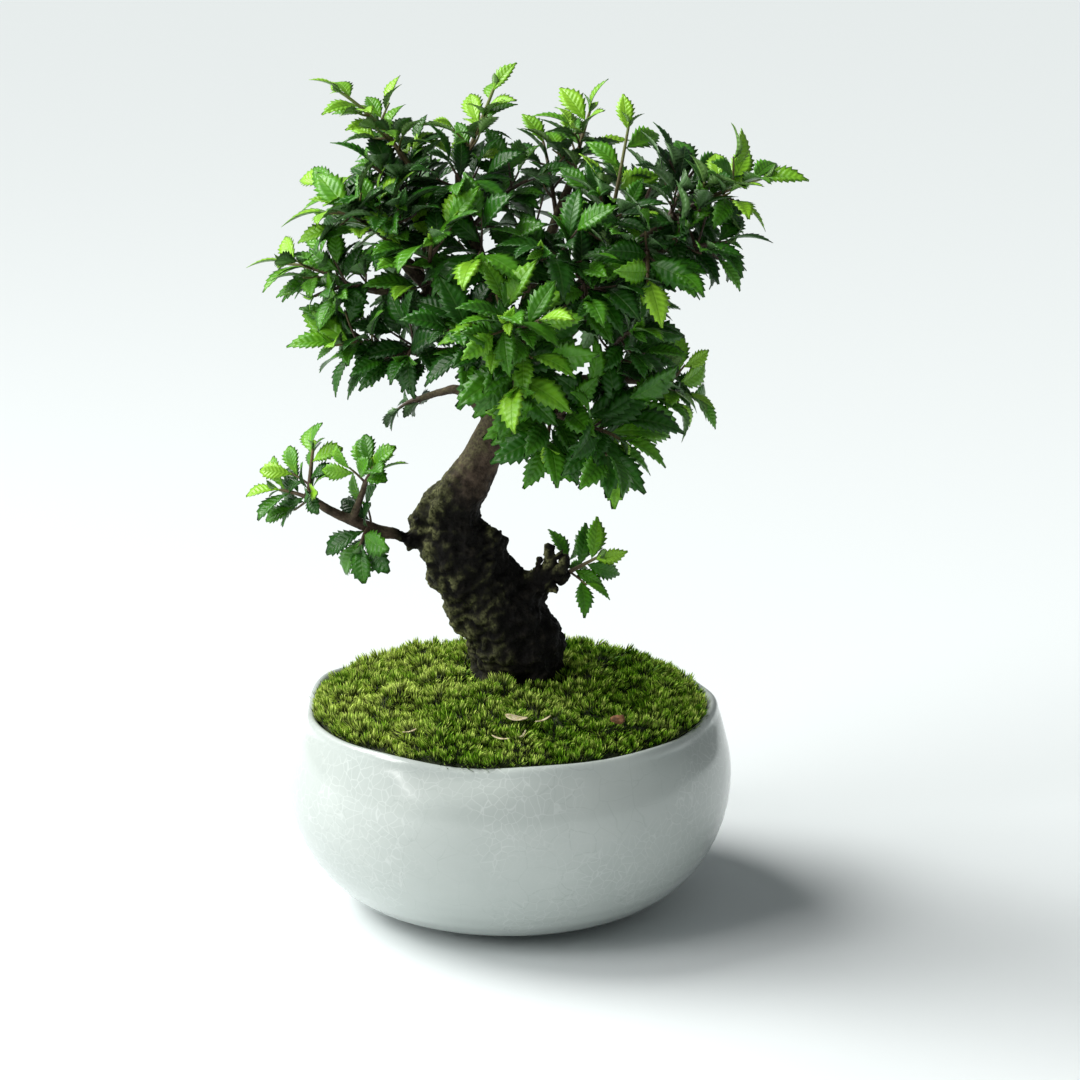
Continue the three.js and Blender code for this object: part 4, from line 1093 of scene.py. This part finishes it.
def leaf_stand(stem, number, turn, tilt):
    """Where a leaf stands: its foot, the way it points, the way it faces and its length."""
    foot, tangent, up, across = sides_of(stem["path"], leaf_place(stem, number))
    last = number == stem["leaves"] - 1
    roll = 0.5 * math.sin(2.4 * number + 1.7 * stem["number"])
    side = across * math.cos(roll) + up * math.sin(roll)
    top = up * math.cos(roll) - across * math.sin(roll)
    spread = math.radians(turn * 0.3 if last else turn)
    sign = 1 if (number + stem["number"]) % 2 == 0 else -1
    pointing = tangent * math.cos(spread) + side * sign * math.sin(spread)
    to_tip = tangent - tangent.dot(pointing) * pointing
    lean = 0 if last else math.radians(tilt)
    face = top * math.cos(lean)
    if np.linalg.norm(to_tip) > 0.05:
        face = face + unit(to_tip) * math.sin(lean)
    face = unit(face - face.dot(pointing) * pointing)
    share = (number + 1) / (stem["leaves"] + 1)
    full = 0.68 + 0.32 * math.sin(math.pi * share) + 0.08 * math.sin(3.1 * number + stem["number"])
    if last:
        foot = foot - TIP_SEAT * tangent
    return foot, pointing, face, LEAF_LENGTH * stem["size"] * full


def bud_leaflet(stem, number):
    """One of the tiny new leaves that open round the bud at a stem's tip."""
    foot, tangent, up, across = sides_of(stem["path"], 1)
    turn = GOLDEN_TURN * (number + stem["number"])
    outward = across * math.cos(turn) + up * math.sin(turn)
    pointing = unit(tangent + 0.55 * outward)
    face = unit(tangent - tangent.dot(pointing) * pointing)
    return foot - 0.5 * tangent, pointing, face, LEAF_LENGTH * stem["size"] * (0.42 - 0.07 * number)


def tip_of(stand):
    foot, pointing, face, length = stand
    return foot + pointing * length - face * LEAF_DROOP * length


def found_leaves(stem, corners):
    """The leaves of this stem whose tips the shoot's own solid has, each as it stands there."""
    leaves = {}
    for number in range(stem["leaves"]):
        for turn, tilt in TURNS:
            stand = leaf_stand(stem, number, turn, tilt)
            if corners.find(tip_of(stand))[2] < SAME_PLACE:
                leaves[number] = stand
                break
    return leaves


def corners_of(node):
    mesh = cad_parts[node].data
    finder = kdtree.KDTree(len(mesh.vertices))
    for number, vertex in enumerate(mesh.vertices):
        finder.insert(vertex.co / MM, number)
    finder.balance()
    return finder


def shoot_points(name, number):
    """The shoot as a wire mesh: joined points for its stems, and one loose point for each leaf."""
    limb, along, tip, rise, leaves, size, age, twigs = SHOOTS[name]
    corners = corners_of(f"shoot_{name}")
    tries = []
    for bow in BOWS:
        path = stem_path(limb, along, tip, rise + bow)
        stem = {"path": path, "leaves": leaves, "size": size, "bare": BARE_STEM, "number": number}
        tries.append((stem, found_leaves(stem, corners)))
    stem, stands = max(tries, key=lambda pair: len(pair[1]))
    stems = [(stem, stands, STEM_RADII)]
    for start in range(twigs):
        forked = [twig_of(stem, start, fork, hand) for fork, hand in FORKS]
        tries = [(twig, found_leaves(twig, corners)) for twig in forked]
        twig, stands = max(tries, key=lambda pair: len(pair[1]))
        if stands:
            stems.append((twig, stands, TWIG_RADII))
    for count in range(FILL_TWIGS if twigs else SPARSE_TWIGS):
        twig = fill_twig(stems[0][0], count)
        stands = {leaf: leaf_stand(twig, leaf, *TURNS[leaf % 3]) for leaf in range(twig["leaves"])}
        stems.append((twig, stands, TWIG_RADII))
    points, edges, is_leaf, girths, ages, turns, sizes = [], [], [], [], [], [], []

    def add(point, leaf, girth, youth, turn, scale):
        points.append(Vector(point) * MM)
        is_leaf.append(leaf)
        girths.append(girth * MM)
        ages.append(youth)
        turns.extend(turn)
        sizes.append(scale * MM)

    for stem, stands, radii in stems:
        for ring in range(STEM_RINGS + 1):
            place = ring / STEM_RINGS
            if ring > 0:
                edges.append((len(points) - 1, len(points)))
            girth = between(radii, place)
            add(bend(stem["path"], place), False, girth, age + 0.5 * (1 - place), (0, 0, 0), 1)
        if radii is STEM_RADII:
            for leaflet in range(BUD_LEAFLETS):
                stands[stem["leaves"] + leaflet] = bud_leaflet(stem, leaflet)
        for leaf, (foot, pointing, face, length) in stands.items():
            stand = Matrix((pointing, np.cross(face, pointing), face)).transposed().to_euler()
            young = age - 0.3 * leaf / (stem["leaves"] - 1) + 0.18 * math.sin(5.1 * leaf + 2.3 * number)
            add(foot, True, 0, young, stand, length)
    mesh = bpy.data.meshes.new(name)
    mesh.from_pydata(points, edges, [])
    for label, values in (("girth", girths), ("age", ages), ("leaf_size", sizes)):
        mesh.attributes.new(label, "FLOAT", "POINT").data.foreach_set("value", values)
    mesh.attributes.new("is_leaf", "BOOLEAN", "POINT").data.foreach_set("value", is_leaf)
    mesh.attributes.new("stand", "FLOAT_VECTOR", "POINT").data.foreach_set("vector", turns)
    return mesh


def named(tree, kind, name):
    node = wired(tree, "GeometryNodeInputNamedAttribute", {"data_type": kind}, Name=name)
    return node.outputs["Attribute"]


def shoot_rule():
    tree, given, result = growing_rule("shoot_rule", Leaf="Object", Stem_sides="Int",
                                       Leaf_finish="Material", Stem_finish="Material")
    parts = wired(tree, "GeometryNodeSeparateGeometry", {"domain": "POINT"}, Geometry=given["Geometry"],
                  Selection=named(tree, "BOOLEAN", "is_leaf"))
    stand = wired(tree, "FunctionNodeEulerToRotation", Euler=named(tree, "FLOAT_VECTOR", "stand"))
    leaf = wired(tree, "GeometryNodeObjectInfo", Object=given["Leaf"])
    leaves = wired(tree, "GeometryNodeInstanceOnPoints", Points=parts.outputs["Selection"],
                   Instance=leaf.outputs["Geometry"], Rotation=stand.outputs["Rotation"],
                   Scale=named(tree, "FLOAT", "leaf_size"))
    plain = wired(tree, "GeometryNodeRealizeInstances", Geometry=leaves.outputs["Instances"])
    green = wired(tree, "GeometryNodeSetMaterial", Geometry=plain.outputs["Geometry"],
                  Material=given["Leaf finish"])
    wire = wired(tree, "GeometryNodeMeshToCurve", Mesh=parts.outputs["Inverted"])
    ring = wired(tree, "GeometryNodeCurvePrimitiveCircle", Resolution=given["Stem sides"], Radius=1.0)
    bark = wired(tree, "GeometryNodeCurveToMesh", Curve=wire.outputs["Curve"],
                 Profile_Curve=ring.outputs["Curve"], Scale=named(tree, "FLOAT", "girth"))
    bark.inputs["Fill Caps"].default_value = True
    brown = wired(tree, "GeometryNodeSetMaterial", Geometry=bark.outputs["Mesh"],
                  Material=given["Stem finish"])
    both = tree.nodes.new("GeometryNodeJoinGeometry")
    tree.links.new(brown.outputs["Geometry"], both.inputs["Geometry"])
    tree.links.new(green.outputs["Geometry"], both.inputs["Geometry"])
    tree.links.new(both.outputs["Geometry"], result["Geometry"])
    return tree


def elm_leaf():
    material, tree, shader = finish("elm_leaf")
    place = object_place(tree)
    blade = wired(tree, "ShaderNodeUVMap", {"uv_map": "blade"})
    axes = wired(tree, "ShaderNodeSeparateXYZ", Vector=blade.outputs["UV"])
    across = sum_of(tree, "ABSOLUTE", sum_of(tree, "SUBTRACT", axes.outputs["Y"], 0.5), 0)
    slanted = sum_of(tree, "SUBTRACT", axes.outputs["X"], sum_of(tree, "MULTIPLY", across, VEIN_SLANT))
    rank = sum_of(tree, "FRACT", sum_of(tree, "MULTIPLY", slanted, VEIN_RANKS), 0)
    off_vein = sum_of(tree, "ABSOLUTE", sum_of(tree, "SUBTRACT", rank, 0.5), 0)
    vein = ranged(tree, off_vein, 0.36, 0.5)
    rib = ranged(tree, across, 0.004, 0.022, 1, 0)
    veins = sum_of(tree, "MAXIMUM", sum_of(tree, "MULTIPLY", vein, 0.55), rib)
    blotch = noise_at(tree, place, 260, 3, 0.6)
    uneven = sum_of(tree, "MULTIPLY", sum_of(tree, "SUBTRACT", blotch, 0.5), 0.35)
    age = sum_of(tree, "ADD", attribute(tree, "age"), uneven)
    # Lighter for young leaves and darker for old ones, as on the tree; the young end is brightened further
    # as painted light shining through, and the old end darkened further as painted shade inside the crown.
    green = ramp(tree, age, (0.0, (0.25, 0.52, 0.025)), (0.25, (0.08, 0.28, 0.009)),
                 (0.5, (0.017, 0.105, 0.003)), (0.9, (0.004, 0.036, 0.002)))
    lined = blended(tree, sum_of(tree, "MULTIPLY", veins, 0.1), green, (0.2, 0.34, 0.08))
    under = sum_of(tree, "MULTIPLY", attribute(tree, "underside"), 0.75)
    tree.links.new(blended(tree, under, lined, (0.1, 0.19, 0.075)), shader.inputs["Base Color"])
    tree.links.new(ranged(tree, blotch, 0.3, 0.7, 0.3, 0.45), shader.inputs["Roughness"])
    shader.inputs["Specular IOR Level"].default_value = 0.33
    pleats = sum_of(tree, "SUBTRACT", ranged(tree, off_vein, 0.0, 0.5, 1, 0), rib)
    bumped(tree, pleats, 0.35, 0.0003, shader)
    return material


def shoot_bark():
    material, tree, shader = finish("shoot_bark")
    mottle = placed(tree, fine_grain, Fineness=900)["Grain"]
    aged = sum_of(tree, "ADD", attribute(tree, "age"), sum_of(tree, "MULTIPLY", mottle, 0.3))
    skin = ramp(tree, aged, (0.3, (0.14, 0.22, 0.04)), (0.65, (0.13, 0.1, 0.035)),
                (1.0, (0.06, 0.035, 0.02)))
    tree.links.new(skin, shader.inputs["Base Color"])
    tree.links.new(ranged(tree, mottle, 0.3, 0.7, 0.5, 0.7), shader.inputs["Roughness"])
    bumped(tree, mottle, 0.5, 0.0002, shader)
    return material


leaf_models = {
    False: shown("elm_leaf", leaf_mesh("elm_leaf", ELM_OUTLINE)),
    True: shown("round_leaf", leaf_mesh("round_leaf", ROUND_OUTLINE)),
}
shoot_tree = shoot_rule()
shoot_finishes = {"Leaf_finish": elm_leaf(), "Stem_finish": shoot_bark()}
for number, name in enumerate(SHOOTS):
    shoot = shown(f"sprig_{name}", shoot_points(name, number))
    grown(shoot, shoot_tree, Leaf=leaf_models[name in ROUND_LEAVED], Stem_sides=8, **shoot_finishes)
    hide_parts(f"shoot_{name}")
    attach(shoot, "root")
for model in leaf_models.values():
    bpy.data.objects.remove(model)

# ---------------------------------------------------------------- litter
# What has dropped on the moss: a dry leaf scale with blades of straw, and a crumb of bark.

LITTER_LIFT = 5.4
BLADE_THICKNESS = 0.15
CRUMB_HALVES = Vector((1.7, 1.2, 0.95))


def curled_blade(shell, middle, length, width, turn, curl):
    """A thin dry blade, pointed at both ends, that curls up from the moss."""
    rows = []
    for step in range(9):
        along = step / 8 - 0.5
        half = width / 2 * math.sqrt(max(0.02, 1 - 4 * along * along))
        row = []
        for across in (-1, -0.4, 0.4, 1):
            lift = curl * (4 * along * along) + 0.25 * half * across * across
            place = Vector((along * length, across * half, lift))
            row.append(shell.verts.new((Matrix.Rotation(turn, 3, "Z") @ place + Vector(middle)) * MM))
        rows.append(row)
    for low, high in zip(rows, rows[1:]):
        for step in range(3):
            shell.faces.new((low[step], high[step], high[step + 1], low[step + 1]))


def dropped_scale():
    shell = bmesh.new()
    lie = POT_HEIGHT + LITTER_LIFT
    curled_blade(shell, (2, -31, lie + 0.4), 5.6, 3, 2.6, 0.8)
    curled_blade(shell, (8, -31.5, lie + 0.4), 5.6, 0.6, 0.9, 0.5)
    curled_blade(shell, (3.4, -37, lie - 1.4), 5, 0.5, 1.3, 0.6)
    curled_blade(shell, (-1.5, -38.5, lie - 1.6), 4.4, 0.6, -0.5, 0.5)
    curled_blade(shell, (-22, -33, lie - 1.8), 4, 0.5, 0.7, 0.4)
    mesh = bpy.data.meshes.new("dropped_scale")
    shell.to_mesh(mesh)
    shell.free()
    mesh.shade_smooth()
    dry_straw = grained("dry_straw", 0.5, 0.0002, Fineness=800, Dark=(0.42, 0.33, 0.18),
                        Light=(0.7, 0.62, 0.42), Smooth=0.55, Rough=0.75)
    scale = shown("dropped_scale", mesh, dry_straw)
    body = scale.modifiers.new("body", "SOLIDIFY")
    body.thickness = BLADE_THICKNESS * MM
    return applied(scale)


def bark_crumb():
    shell = bmesh.new()
    bmesh.ops.create_icosphere(shell, subdivisions=4, radius=1)
    middle = Vector((25, -31, POT_HEIGHT + LITTER_LIFT + 0.5))
    for corner in shell.verts:
        rough = 1 + 0.35 * noise.noise(corner.co * 1.6) + 0.12 * noise.noise(corner.co * 6)
        corner.co = (CRUMB_HALVES * rough * corner.co + middle) * MM
    mesh = bpy.data.meshes.new("fallen_crumb")
    shell.to_mesh(mesh)
    shell.free()
    mesh.shade_smooth()
    crumb_bark = grained("crumb_bark", 0.8, 0.0004, Fineness=900, Dark=(0.07, 0.028, 0.01),
                         Light=(0.26, 0.12, 0.05), Smooth=0.7, Rough=0.9)
    return shown("fallen_crumb", mesh, crumb_bark)


scale = dropped_scale()
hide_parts("dry_leaf")
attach(scale, "root")
crumb = bark_crumb()
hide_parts("bark_crumb")
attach(crumb, "root")
